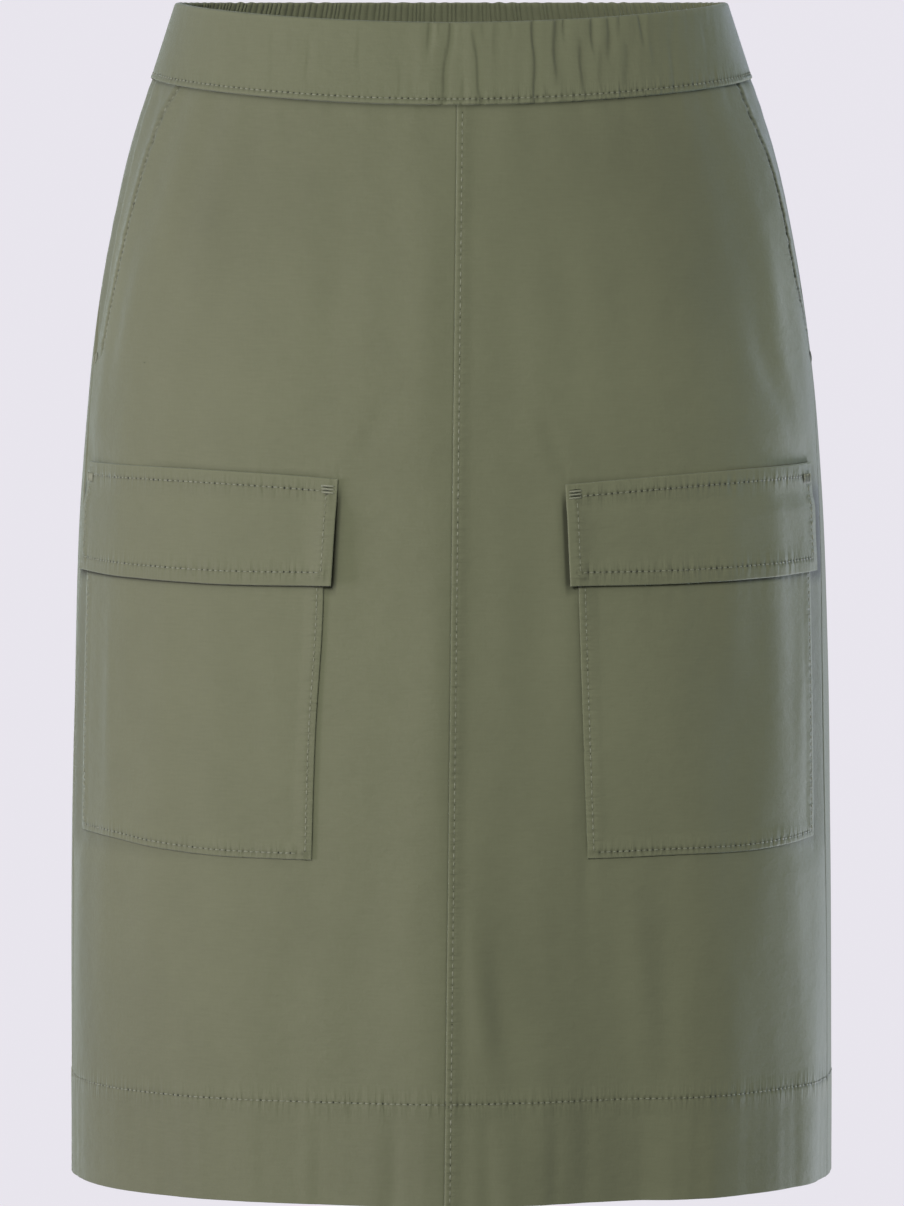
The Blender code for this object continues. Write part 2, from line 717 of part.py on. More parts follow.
# ------------------------------------------------------------------ the whole skirt


def clear_scene():
    for obj in list(bpy.data.objects):
        bpy.data.objects.remove(obj, do_unlink=True)


def main():
    clear_scene()
    waistband_front()
    waistband_back()
    back_panel()
    for side in (LEFT, RIGHT):
        front_panel(side)
        hip_facing(side)
        cargo_pocket(side)
        pocket_flap(side)


main()
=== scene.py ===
"""Cargo utility skirt: how the worn, hollow skirt looks, with its cloth, folds, gathers and sewing.

Metres, +Z up, the front facing -Y. Cloth is placed by two distances, as on the real garment: `arc`, along
the cloth round the body from the middle of the front towards +X, and `below`, the depth under the waist's
top edge. In names, left and right are the viewer's, so left is at -X.
"""

from collections import namedtuple
from functools import partial
from math import atan2, pi

import bpy
import numpy as np
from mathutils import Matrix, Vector


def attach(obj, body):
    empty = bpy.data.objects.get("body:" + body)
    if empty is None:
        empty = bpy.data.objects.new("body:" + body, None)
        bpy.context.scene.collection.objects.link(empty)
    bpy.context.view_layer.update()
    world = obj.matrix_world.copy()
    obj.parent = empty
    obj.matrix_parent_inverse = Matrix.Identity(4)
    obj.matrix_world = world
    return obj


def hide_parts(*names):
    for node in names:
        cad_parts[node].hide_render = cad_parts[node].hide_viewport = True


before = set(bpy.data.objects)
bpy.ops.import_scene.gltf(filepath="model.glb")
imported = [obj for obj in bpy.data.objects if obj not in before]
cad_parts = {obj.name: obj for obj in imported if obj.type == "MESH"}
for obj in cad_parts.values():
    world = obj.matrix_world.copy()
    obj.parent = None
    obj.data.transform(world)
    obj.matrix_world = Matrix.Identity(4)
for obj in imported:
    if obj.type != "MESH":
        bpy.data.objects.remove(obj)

bl_info = {
    "name": "Cargo utility skirt",
    "version": (1, 0, 0),
    "blender": (4, 5, 0),
    "location": "View3D > Sidebar > Skirt",
    "description": "Builds a cargo utility skirt, its sewing and a plain studio",
    "category": "Object",
}


def table(columns, *rows):
    """Rows of values under named columns."""
    make_row = namedtuple("Row", columns)
    return [make_row(*row) for row in rows]


# --- sizes of the cut

LENGTH = 0.583
HEM_DEPTH = 0.050
SEAM_GAP = 0.0003

BAND_DEPTH = 0.038
BAND_PROUD = 0.0006
BAND_INSIDE = 0.0020
WAIST_DIP = 0.0095
BAND_FOOT_DIP = 0.0118
DIP_SHARE = 0.92
DIP_POWER = 1.2

CENTRE_SEAM_TOP = 0.0032
CENTRE_SEAM_HEM = -0.0035

# One row for each level ring. The seams are shares of the way from the middle front to the side.
SECTIONS = table(
    "below half_width front_depth back_depth squareness left_seam right_seam",
    (0.0, 0.137, 0.095, 0.092, 2.15, 1.03, 1.03),
    (0.038, 0.1493, 0.106, 0.104, 2.2, 1.025, 1.025),
    (0.075, 0.161, 0.116, 0.116, 2.25, 0.985, 1.005),
    (0.12, 0.1708, 0.124, 0.127, 2.3, 0.932, 0.967),
    (0.18, 0.1795, 0.131, 0.136, 2.35, 0.892, 0.925),
    (0.24, 0.1847, 0.135, 0.139, 2.4, 0.888, 0.882),
    (0.32, 0.1879, 0.138, 0.139, 2.45, 0.888, 0.845),
    (0.42, 0.1899, 0.141, 0.139, 2.5, 0.888, 0.832),
    (0.52, 0.1905, 0.144, 0.14, 2.5, 0.888, 0.838),
    (0.583, 0.1904, 0.145, 0.141, 2.5, 0.888, 0.842),
)

HIP_EDGE = "below left_edge right_edge"

# The slanted pocket openings: cloth distance from the middle front to the opening's edge on each side.
HIP_POCKET = table(
    HIP_EDGE,
    (0.036, 0.18, 0.183),
    (0.062, 0.189, 0.1965),
    (0.09, 0.1965, 0.2035),
    (0.12, 0.206, 0.2125),
    (0.15, 0.2125, 0.2235),
    (0.176, 0.221, 0.233),
)
HIP_POCKET_FOOT = 0.176

# The row of stitches inside each opening's edge.
HIP_STITCHES = table(
    HIP_EDGE,
    (0.036, 0.145, 0.164),
    (0.054, 0.161, 0.1715),
    (0.076, 0.1725, 0.184),
    (0.104, 0.184, 0.1935),
    (0.135, 0.195, 0.2035),
    (0.176, 0.2105, 0.227),
)

FACING_FOOT = 0.1756
FACING_UNDERLAP = 0.012
FACING_FLAT = 0.004
FACING_RISE = 0.012
FACING_SINK = 0.0011

PATCH_EDGE = "below left_inner left_outer right_inner right_outer"

# The cargo pockets' side edges, by depth below the waist.
POCKET_TOP = 0.250
POCKET_EDGES = table(
    PATCH_EDGE,
    (0.25, 0.061, 0.218, 0.0605, 0.2075),
    (0.3, 0.0622, 0.219, 0.062, 0.2082),
    (0.35, 0.0655, 0.22, 0.0638, 0.209),
    (0.43, 0.068, 0.221, 0.0668, 0.21),
)
FLAP_EDGES = table(
    PATCH_EDGE,
    (0.225, 0.0542, 0.2235, 0.0546, 0.214),
    (0.29, 0.058, 0.224, 0.0573, 0.212),
)

PATCH_LINE = "share left_below right_below"

# Depth of the flaps' and pockets' level edges, from the inner corner (0) to the outer corner (1).
FLAP_TOP = table(
    PATCH_LINE,
    (0.0, 0.2303, 0.233),
    (0.15, 0.2286, 0.2312),
    (0.35, 0.2271, 0.2292),
    (0.6, 0.2263, 0.2275),
    (1.0, 0.2268, 0.2268),
)
FLAP_FOOT = table(
    PATCH_LINE,
    (0.0, 0.282, 0.2822),
    (0.35, 0.2822, 0.282),
    (0.6, 0.2812, 0.2812),
    (1.0, 0.28, 0.28),
)
POCKET_FOOT = table(
    PATCH_LINE,
    (0.0, 0.4152, 0.4148),
    (0.38, 0.4141, 0.414),
    (0.58, 0.4118, 0.414),
    (0.76, 0.4093, 0.4128),
    (1.0, 0.4088, 0.411),
)

PATCH_SINK = 0.0020
PATCH_SINK_INNER = 0.055
PATCH_SINK_OUTER = 0.018
PATCH_SINK_ABOVE = 0.022
PATCH_SINK_BELOW = 0.018

BACK_GATHERS = 132
GATHER_HEIGHT = 0.0009
PANEL_GATHERS = 40
PANEL_GATHER_HEIGHT = 0.0016
PANEL_GATHER_SINK = 0.0007
FINE_GATHER_HEIGHT = 0.0006
GATHER_STEPS = 9
GATHER_SEED = 11

PANEL_TOP = BAND_DEPTH + SEAM_GAP
HEM_TOP = LENGTH - HEM_DEPTH

# --- folds and creases

# The middle front stands out in a soft ridge, just left of its seam, that grows towards the hem.
RIDGE = table(
    "below height",
    (0.05, 0.0),
    (0.085, 0.0026),
    (0.14, 0.0046),
    (0.3, 0.0072),
    (0.583, 0.011),
)
RIDGE_ARC = -0.010
RIDGE_ROUND = 0.007
RIDGE_REACH = 0.070

FOLD = "from_arc from_below to_arc to_below width height"

# The largest soft folds: ridges are positive, troughs negative. Arcs past a half girth lie on the back.
FOLDS = table(
    FOLD,
    (-0.014, 0.29, -0.014, 0.64, 0.012, 0.001),
    (0.018, 0.39, 0.036, 0.59, 0.01, -0.0009),
    (0.076, 0.45, 0.076, 0.7, 0.022, -0.0016),
    (0.086, 0.3, 0.086, 0.76, 0.03, -0.0036),
    (0.088, 0.36, 0.102, 0.6, 0.011, 0.0012),
    (0.122, 0.36, 0.126, 0.72, 0.022, 0.0022),
    (0.147, 0.27, 0.149, 0.44, 0.022, -0.0018),
    (0.16, 0.43, 0.158, 0.62, 0.02, -0.0016),
    (0.206, 0.42, 0.204, 0.64, 0.014, 0.0016),
    (-0.158, 0.08, -0.19, 0.215, 0.012, 0.001),
    (0.155, 0.14, 0.203, 0.232, 0.012, -0.0012),
    (0.098, 0.09, 0.098, 0.19, 0.03, 0.001),
    (-0.115, 0.42, -0.118, 0.64, 0.024, 0.0009),
    (-0.16, 0.44, -0.158, 0.64, 0.018, -0.0007),
    (0.345, 0.18, 0.35, 0.64, 0.026, 0.0034),
    (0.41, 0.23, 0.405, 0.64, 0.024, -0.0032),
    (0.478, 0.15, 0.47, 0.64, 0.03, 0.003),
    (0.54, 0.26, 0.545, 0.64, 0.024, -0.003),
    (0.605, 0.14, 0.62, 0.64, 0.028, 0.0034),
    (0.68, 0.3, 0.69, 0.64, 0.022, -0.0028),
    (0.75, 0.2, 0.76, 0.64, 0.024, 0.0028),
)

# Narrower creases: down the front, round the pockets, at the hips, in the hem and on the back.
CREASES = table(
    FOLD,
    (-0.005, 0.23, -0.0045, 0.6, 0.006, 0.0006),
    (0.003, 0.27, 0.004, 0.56, 0.006, -0.0003),
    (0.006, 0.425, 0.0215, 0.54, 0.006, 0.0006),
    (0.0155, 0.43, 0.0305, 0.54, 0.006, -0.0009),
    (0.033, 0.43, 0.049, 0.52, 0.005, -0.0003),
    (0.043, 0.43, 0.058, 0.56, 0.0055, 0.0003),
    (0.05, 0.42, 0.052, 0.6, 0.006, -0.0005),
    (0.064, 0.26, 0.0665, 0.5, 0.0045, -0.0011),
    (0.086, 0.405, 0.099, 0.56, 0.008, 0.0009),
    (0.0, 0.02, 0.0, 0.2, 0.034, 0.0014),
    (0.022, 0.47, 0.022, 0.69, 0.026, 0.0026),
    (0.092, 0.47, 0.09, 0.69, 0.022, -0.0022),
    (0.16, 0.43, 0.158, 0.62, 0.02, 0.0013),
    (0.012, 0.425, 0.018, 0.55, 0.007, 0.0007),
    (0.102, 0.43, 0.11, 0.56, 0.006, -0.0005),
    (0.141, 0.275, 0.143, 0.425, 0.011, -0.0006),
    (0.136, 0.41, 0.145, 0.565, 0.01, 0.0008),
    (0.196, 0.285, 0.1915, 0.425, 0.006, 0.0006),
    (0.192, 0.4, 0.193, 0.62, 0.007, 0.0003),
    (0.153, 0.15, 0.199, 0.226, 0.007, -0.0006),
    (0.166, 0.034, 0.206, 0.15, 0.016, 0.0024),
    (0.178, 0.08, 0.236, 0.235, 0.02, 0.0018),
    (0.165, 0.15, 0.204, 0.206, 0.005, 0.0003),
    (0.174, 0.09, 0.182, 0.19, 0.0068, 0.0004),
    (0.088, 0.112, 0.14, 0.168, 0.016, 0.0006),
    (0.1, 0.186, 0.14, 0.216, 0.01, -0.0005),
    (-0.159, 0.09, -0.192, 0.212, 0.007, 0.0007),
    (-0.172, 0.096, -0.202, 0.208, 0.006, -0.0005),
    (-0.1865, 0.268, -0.186, 0.41, 0.0055, 0.0008),
    (-0.025, 0.18, -0.048, 0.232, 0.006, -0.0005),
    (0.041, 0.19, 0.057, 0.234, 0.0045, -0.0008),
    (-0.026, 0.505, -0.029, 0.64, 0.0035, -0.0006),
    (-0.037, 0.505, -0.039, 0.64, 0.0045, 0.0004),
    (-0.062, 0.505, -0.0635, 0.63, 0.004, -0.0004),
    (-0.098, 0.51, -0.099, 0.64, 0.006, 0.0003),
    (-0.142, 0.512, -0.144, 0.64, 0.005, -0.0003),
    (0.0158, 0.505, 0.0188, 0.64, 0.004, -0.001),
    (0.025, 0.512, 0.028, 0.64, 0.005, 0.0005),
    (0.051, 0.505, 0.05, 0.64, 0.0042, -0.0009),
    (0.0663, 0.508, 0.0675, 0.62, 0.005, -0.0006),
    (0.0955, 0.505, 0.0935, 0.64, 0.0036, -0.0005),
    (0.107, 0.51, 0.109, 0.64, 0.005, 0.0002),
    (0.128, 0.505, 0.1315, 0.64, 0.005, 0.0006),
    (0.156, 0.505, 0.158, 0.64, 0.0075, 0.0002),
    (0.265, 0.12, 0.282, 0.33, 0.009, -0.001),
    (0.295, 0.3, 0.3, 0.64, 0.01, 0.0012),
    (0.33, 0.07, 0.32, 0.23, 0.008, 0.0008),
    (0.376, 0.4, 0.382, 0.64, 0.007, -0.0012),
    (0.434, 0.08, 0.428, 0.22, 0.008, -0.0009),
    (0.45, 0.42, 0.444, 0.64, 0.008, 0.0011),
    (0.508, 0.09, 0.516, 0.3, 0.007, -0.001),
    (0.512, 0.38, 0.506, 0.64, 0.007, -0.0012),
    (0.576, 0.1, 0.572, 0.26, 0.008, 0.0009),
    (0.585, 0.43, 0.59, 0.64, 0.006, -0.001),
    (0.642, 0.11, 0.65, 0.34, 0.008, -0.001),
    (0.656, 0.45, 0.652, 0.64, 0.008, 0.001),
    (0.715, 0.13, 0.726, 0.3, 0.009, 0.001),
    (0.726, 0.42, 0.722, 0.64, 0.007, -0.001),
    (0.79, 0.16, 0.78, 0.42, 0.009, -0.001),
)

# Painted light and shade: broad, faint patches of tone on the cloth, darker where positive and lighter
# where negative.
PAINTED_LIGHT_PATCHES = table(
    "arc below across down amount",
    (-0.08, 0.085, 0.062, 0.05, 0.55),
    (0.06, 0.072, 0.05, 0.032, 0.5),
    (0.115, 0.075, 0.04, 0.03, 0.3),
    (0.095, 0.185, 0.06, 0.035, -0.4),
    (0.138, 0.248, 0.04, 0.036, -0.58),
    (-0.165, 0.55, 0.06, 0.06, 0.5),
    (0.062, 0.565, 0.045, 0.035, 0.45),
    (-0.05, 0.32, 0.04, 0.065, -0.32),
    (0.128, 0.125, 0.034, 0.034, 0.4),
    (0.184, 0.145, 0.019, 0.042, -0.85),
    (0.083, 0.34, 0.03, 0.05, -0.5),
    (0.036, 0.47, 0.026, 0.045, 0.45),
    (-0.028, 0.56, 0.028, 0.034, 0.45),
    (-0.118, 0.11, 0.018, 0.04, 0.36),
    (-0.197, 0.135, 0.014, 0.05, -0.65),
    (-0.215, 0.475, 0.014, 0.06, 0.5),
    (0.174, 0.556, 0.02, 0.03, 0.5),
)

# Soft folds across the front waistband: `reach` is the share of the band's depth that each one runs down.
BAND_FOLDS = table(
    "arc lean width height reach",
    (-0.074, 0.001, 0.0028, 0.0004, 1.0),
    (-0.0125, 0.001, 0.002, 0.0009, 0.8),
    (-0.003, -0.004, 0.0022, 0.0012, 1.0),
    (0.012, 0.002, 0.002, 0.001, 1.0),
    (0.041, 0.001, 0.0022, 0.0007, 0.8),
    (0.053, 0.002, 0.002, 0.0008, 1.0),
    (0.06, 0.0, 0.0016, 0.0007, 0.5),
    (0.068, 0.001, 0.0018, 0.0008, 0.9),
    (0.0765, 0.002, 0.002, 0.0009, 1.0),
    (0.085, 0.001, 0.0018, 0.0007, 0.8),
    (0.104, 0.0, 0.002, 0.0007, 0.6),
    (0.128, 0.001, 0.0024, 0.0005, 1.0),
)

# Sharper creases in the front waistband, each from `start` to `reach` as shares of the band's depth.
BAND_CREASES = table(
    "arc lean start reach width height",
    (-0.106, 0.002, 0.2, 0.7, 0.0016, 0.00014),
    (-0.0895, -0.002, 0.1, 0.95, 0.002, 0.00022),
    (-0.081, 0.001, 0.0, 0.6, 0.0018, 0.00016),
    (-0.07, -0.003, 0.15, 0.9, 0.0016, 0.00026),
    (-0.046, 0.001, 0.0, 0.8, 0.0018, 0.00018),
    (-0.027, 0.002, 0.35, 1.1, 0.0016, 0.00018),
    (-0.0112, 0.0005, -0.2, 0.45, 0.0015, 0.00085),
    (-0.0058, 0.0005, -0.2, 0.25, 0.0012, 0.00045),
    (-0.0005, -0.0045, -0.2, 1.3, 0.0013, 0.00105),
    (0.0052, 0.0, 0.6, 1.3, 0.0012, 0.00035),
    (0.01, 0.0045, 0.05, 1.3, 0.0013, 0.00085),
    (0.015, -0.001, -0.2, 0.3, 0.0014, 0.00035),
    (0.021, 0.001, -0.2, 0.55, 0.0022, 0.00035),
    (0.029, 0.001, -0.2, 0.25, 0.0014, 0.0004),
    (0.0398, 0.0014, -0.2, 1.3, 0.0018, 0.00125),
    (0.045, 0.001, 0.7, 1.3, 0.0012, 0.00045),
    (0.051, 0.0006, -0.2, 0.85, 0.003, 0.0013),
    (0.0556, -0.0012, -0.3, 0.32, 0.0014, 0.0013),
    (0.064, 0.0006, 0.2, 1.0, 0.0028, 0.0012),
    (0.0692, 0.003, -0.2, 0.5, 0.0018, 0.0012),
    (0.0735, 0.0005, 0.3, 1.0, 0.0022, 0.0006),
    (0.078, 0.0004, -0.1, 0.6, 0.0022, 0.001),
    (0.0835, 0.001, -0.2, 0.35, 0.0016, 0.00075),
    (0.088, -0.001, 0.25, 1.1, 0.0024, 0.0005),
    (0.0945, 0.006, -0.2, 0.45, 0.0018, 0.0009),
    (0.101, 0.001, -0.2, 0.7, 0.0024, 0.0004),
    (0.112, 0.002, 0.1, 1.1, 0.0026, 0.00035),
    (0.124, -0.001, -0.2, 0.6, 0.0024, 0.00035),
    (0.136, 0.002, 0.1, 1.1, 0.0028, 0.0003),
)

# --- sizes of the cloth and the sewing

CLOTH = 0.00055
HEM_CLOTH = 0.0011
POCKET_CLOTH = 0.0008
FLAP_CLOTH = 0.0011
LAY = 0.00012
TUCK = 0.0010
UNDER_BAND = 0.0012

# How far in each piece's rounded edge reaches.
BAND_ROUND = 0.0013
PANEL_ROUND = 0.0003
POCKET_ROUND = 0.0005
FLAP_ROUND = 0.0006

STITCH_PITCH = 0.0030
CENTRE_PITCH = 0.0038
SIDE_PITCH = 0.0034
# Shares of the painted shade at stitch holes: for rows of other pitches, and on the more fully lit left
# side.
FINE_STRENGTH = 0.35
LEFT_STRENGTH = 0.55
STITCH_GROOVE = 0.00022
STITCH_HALF = 0.0012
GROOVE_HALF = 0.0008
BAND_STITCH = 0.0030
CENTRE_STITCH = 0.00275
HIP_INSET = 0.0165
POCKET_STITCH = 0.0032
POCKET_FOOT_STITCH = 0.0030
FLAP_TOP_STITCH = 0.0063
FLAP_SIDE_STITCH = 0.0054
FLAP_FOOT_STITCH = 0.0066
FLAP_TACK = 0.0052
FLAP_OUTER_TACK = 0.0076

# Painted shade in the waistband's creases: how much a crease is darkened for each metre of its depth.
CREASE_SHADE = 700.0

LEFT = -1
RIGHT = 1
SIDES = (LEFT, RIGHT)
SIDE_WORDS = {LEFT: "left", RIGHT: "right"}

# --- tables read smoothly


def smooth_rows(rows, column, where):
    """A column of a table at `where`, along a curve through its rows with no kinks."""
    places = np.array([row[0] for row in rows])
    values = np.array([getattr(row, column) for row in rows])
    slopes = np.gradient(values, places)
    where = np.clip(where, places[0], places[-1])
    index = np.clip(np.searchsorted(places, where, side="right") - 1, 0, len(places) - 2)
    step = places[index + 1] - places[index]
    t = (where - places[index]) / step
    start = values[index] * (1 + 2 * t) * (1 - t) ** 2 + slopes[index] * step * t * (1 - t) ** 2
    end = values[index + 1] * t * t * (3 - 2 * t) + slopes[index + 1] * step * t * t * (t - 1)
    return start + end


def ease(t):
    """0 to 1 with level ends."""
    t = np.clip(t, 0.0, 1.0)
    return t * t * (3 - 2 * t)


def fall(distance, reach):
    """1 up to a line, easing down to 0 at `reach` beyond it."""
    return ease(1 - distance / reach)


def bell(distance, width):
    """1 on a line, fading to 0 on both sides of it."""
    return np.exp(-((distance / width) ** 2))


def roll_off(distance, reach):
    """1 at an edge, falling along a quarter round to 0 at `reach` from it."""
    return 1 - np.sqrt(1 - (1 - np.clip(distance / reach, 0.0, 1.0)) ** 2)


# --- the worn form

RING_STEP = 0.002
RING_LEVELS = np.arange(-RING_STEP, LENGTH + 2 * RING_STEP, RING_STEP)
RING_ANGLES = np.linspace(-pi, 2 * pi, 2161)


def ring_radius(angle, below):
    """Distance from the middle to the cloth's outer face, at an angle from the front (0) towards +X."""
    half_width = smooth_rows(SECTIONS, "half_width", below)
    front = smooth_rows(SECTIONS, "front_depth", below)
    back = smooth_rows(SECTIONS, "back_depth", below)
    power = smooth_rows(SECTIONS, "squareness", below)
    depth = np.where(np.cos(angle) >= 0, front, back)
    across = np.abs(np.sin(angle) / half_width) ** power
    along = np.abs(np.cos(angle) / depth) ** power
    return (across + along) ** (-1 / power)


def arc_table():
    """Cloth distance from the middle front, for each level (rows) and angle (columns)."""
    radius = ring_radius(RING_ANGLES[None, :], RING_LEVELS[:, None])
    x = radius * np.sin(RING_ANGLES)
    y = -radius * np.cos(RING_ANGLES)
    steps = np.hypot(np.diff(x, axis=1), np.diff(y, axis=1))
    arcs = np.concatenate([np.zeros((len(RING_LEVELS), 1)), np.cumsum(steps, axis=1)], axis=1)
    return arcs - arcs[:, [len(RING_ANGLES) // 3]]


ARCS = arc_table()
ARC_SPEED = np.gradient(ARCS, RING_ANGLES, axis=1)


def read_table(grid, angle, below):
    """The table's value between its levels and angles."""
    row = np.clip((below - RING_LEVELS[0]) / RING_STEP, 0, len(RING_LEVELS) - 1.001)
    column = (angle - RING_ANGLES[0]) / (RING_ANGLES[1] - RING_ANGLES[0])
    column = np.clip(column, 0, len(RING_ANGLES) - 1.001)
    i = row.astype(int)
    j = column.astype(int)
    down = row - i
    along = column - j
    upper = grid[i, j] * (1 - along) + grid[i, j + 1] * along
    lower = grid[i + 1, j] * (1 - along) + grid[i + 1, j + 1] * along
    return upper * (1 - down) + lower * down


def girth_at(below):
    """Cloth distance all the way round."""
    below = np.asarray(below, float)
    return 2 * read_table(ARCS, np.full_like(below, pi), below)


def quarter_at(below):
    """Cloth distance from the middle front to the side."""
    below = np.asarray(below, float)
    return read_table(ARCS, np.full_like(below, pi / 2), below)


def angle_at(arc, below):
    """The angle at which the cloth distance from the middle front is `arc`."""
    angle = arc / girth_at(below) * 2 * pi
    for _ in range(8):
        angle = angle + (arc - read_table(ARCS, angle, below)) / read_table(ARC_SPEED, angle, below)
    return angle


def cloth_points(arc, below, lift):
    """Points on the worn form, moved out level by `lift`."""
    arc, below, lift = np.broadcast_arrays(arc, below, lift)
    angle = angle_at(arc, below)
    radius = ring_radius(angle, below)
    nudge = 1e-4
    ahead = ring_radius(angle + nudge, below)
    behind = ring_radius(angle - nudge, below)
    run_x = ahead * np.sin(angle + nudge) - behind * np.sin(angle - nudge)
    run_y = behind * np.cos(angle - nudge) - ahead * np.cos(angle + nudge)
    run = np.hypot(run_x, run_y)
    x = radius * np.sin(angle) + lift * run_y / run
    y = -radius * np.cos(angle) - lift * run_x / run
    return np.stack([x, y, -below], axis=-1)


# --- edges and seams


def dip_at(arc):
    """0 at the sides and the back to 1 at the middle front."""
    share = np.abs(arc) / (quarter_at(BAND_DEPTH) * DIP_SHARE)
    return np.cos(pi / 2 * np.clip(share, 0, 1)) ** DIP_POWER


def band_top(arc):
    return WAIST_DIP * dip_at(arc)


def band_foot(arc):
    return BAND_DEPTH + BAND_FOOT_DIP * dip_at(arc)


def centre_seam(below):
    return CENTRE_SEAM_TOP + (CENTRE_SEAM_HEM - CENTRE_SEAM_TOP) * below / LENGTH


def side_seam(side, below):
    """Cloth distance from the middle front to the side seam, always positive."""
    return smooth_rows(SECTIONS, SIDE_WORDS[side] + "_seam", below) * quarter_at(below)


def opening_edge(side, below):
    return smooth_rows(HIP_POCKET, SIDE_WORDS[side] + "_edge", below)


def front_edge(side, below):
    """The front panel's outer edge: the slanted pocket opening, then the side seam."""
    seam = side_seam(side, below)
    opening = opening_edge(side, below)
    return np.where(below < HIP_POCKET_FOOT, np.minimum(opening, seam), seam)


def patch_arc(side, edges, below, across):
    """Cloth distance at a share of the way from a patch's inner edge to its outer one."""
    inner = smooth_rows(edges, SIDE_WORDS[side] + "_inner", below)
    outer = smooth_rows(edges, SIDE_WORDS[side] + "_outer", below)
    return inner + (outer - inner) * across


def patch_line(side, line, across):
    return smooth_rows(line, SIDE_WORDS[side] + "_below", across)


def patch_sink(side, arc, below):
    edge = patch_arc(side, POCKET_EDGES, below, 1.0)
    beyond = side * arc - edge
    sideways = ease(1 + beyond / PATCH_SINK_INNER) * fall(beyond, PATCH_SINK_OUTER)
    top = patch_line(side, FLAP_TOP, 1.0)
    foot = patch_line(side, POCKET_FOOT, 1.0)
    upright = ease(1 + (below - top) / PATCH_SINK_ABOVE) * fall(below - foot, PATCH_SINK_BELOW)
    return -PATCH_SINK * sideways * upright


def hip_stitch(side, below):
    """Cloth distance to the row of stitches beside the slanted opening."""
    return smooth_rows(HIP_STITCHES, SIDE_WORDS[side] + "_edge", below)


def back_reach(below):
    """The arcs of the right and the left side seam, with the back between them."""
    return side_seam(RIGHT, below), girth_at(below) - side_seam(LEFT, below)


def back_arc(share, below):
    start, end = back_reach(below)
    return start + (end - start) * share


def back_share(arc, below):
    start, end = back_reach(below)
    return (arc - start) / (end - start)


# --- how cloth folds, puckers and gathers


def fold_sum(folds, arc, below):
    lift = np.zeros(np.broadcast(arc, below).shape)
    for fold in folds:
        along = (below - fold.from_below) / (fold.to_below - fold.from_below)
        middle = fold.from_arc + (fold.to_arc - fold.from_arc) * along
        strength = np.sin(pi * np.clip(along, 0, 1)) ** 2
        lift += fold.height * strength * bell(arc - middle, fold.width)
    return lift


WAVE_COUNT = 9
WAVE_HEIGHT = 0.00013
WAVE_SEED = 23
WAVES_ROUND = (13, 44)
WAVE_LEAN = (-22, 22)
WAVE_RISE = (9, 26)


def waves(arc, below):
    """The slight unevenness of hanging cloth: long upright waves that close up all round."""
    dice = np.random.default_rng(WAVE_SEED)
    turn = arc / girth_at(below) * 2 * pi
    total = 0.0
    for _ in range(WAVE_COUNT):
        count = dice.integers(*WAVES_ROUND)
        lean = dice.uniform(*WAVE_LEAN)
        phase = dice.uniform(0, 2 * pi)
        rise = dice.uniform(*WAVE_RISE)
        rise_phase = dice.uniform(0, 2 * pi)
        total += np.cos(count * turn + lean * below + phase) * np.cos(rise * below + rise_phase)
    return WAVE_HEIGHT * total


def ridge_lift(arc, below):
    """A ridge with a rounded crest and nearly straight flanks."""
    away = np.hypot(arc - RIDGE_ARC, RIDGE_ROUND) / RIDGE_REACH
    return smooth_rows(RIDGE, "height", below) * (1 - np.tanh(away))


def body_lift(arc, below):
    """How far the cloth stands out from the smooth form, before any sewing."""
    lift = patch_sink(LEFT, arc, below) + patch_sink(RIGHT, arc, below) + ridge_lift(arc, below)
    return lift + fold_sum(FOLDS, arc, below) + fold_sum(CREASES, arc, below) + waves(arc, below)


def painted_light_and_shade(arc, below):
    """The painted light and shade of the broad patches at a place on the cloth."""
    total = 0.0
    for fade in PAINTED_LIGHT_PATCHES:
        total += fade.amount * bell(arc - fade.arc, fade.across) * bell(below - fade.below, fade.down)
    return total


def ripples(along, seed, shortest=0.0040, longest=0.0090, count=5):
    """Uneven waves between about -1 and 1 that come and go along a line."""
    dice = np.random.default_rng(seed)
    total = 0.0
    for _ in range(count):
        pitch = dice.uniform(shortest, longest)
        phase = dice.uniform(0, 2 * pi)
        slow = dice.uniform(0.030, 0.090)
        slow_phase = dice.uniform(0, 2 * pi)
        swell = 0.5 + 0.5 * np.cos(2 * pi * along / slow + slow_phase)
        total += swell * np.cos(2 * pi * along / pitch + phase)
    return total / count**0.5


# What a look holds besides its lift: painted shade and light, puckers along level and upright rows,
# lightened edges, and rows of stitches, whose holes get painted shade, with how many stitches along them
# each place is.
LOOK_WORDS = ("shade", "level", "upright", "edge", "row", "phase")


class Look:
    """A piece's outer face: its lift, its painted shade and light, and where sewing puckers it."""

    def __init__(self, lift, on_right=1.0):
        self.lift = lift
        self.on_right = on_right
        for word in LOOK_WORDS:
            setattr(self, word, np.zeros(np.shape(lift)))

    def sew(
        self,
        distance,
        along,
        seed,
        upright=False,
        where=1.0,
        pitch=STITCH_PITCH,
        pucker=0.00012,
        reach=0.0040,
    ):
        """A row of stitches at distance 0: a fine groove dimpled at each hole, with painted shade at the
        holes and puckers across it.
        """
        near = bell(distance, reach) * where
        self.lift -= STITCH_GROOVE * where * bell(distance, GROOVE_HALF)
        self.lift += pucker * near * ripples(along, seed)
        row = bell(distance, STITCH_HALF) * where * (LEFT_STRENGTH + (1 - LEFT_STRENGTH) * self.on_right)
        if pitch != STITCH_PITCH:
            row = FINE_STRENGTH * row
        self.phase = np.where(row > self.row, along / pitch + 0 * row, self.phase)
        self.row = np.maximum(self.row, row)
        if upright:
            self.upright += near
        else:
            self.level += near

    def border(self, distance, width=0.0008):
        """A cut or folded edge at distance 0, where the cloth is lightened."""
        self.edge = np.maximum(self.edge, bell(distance, width))


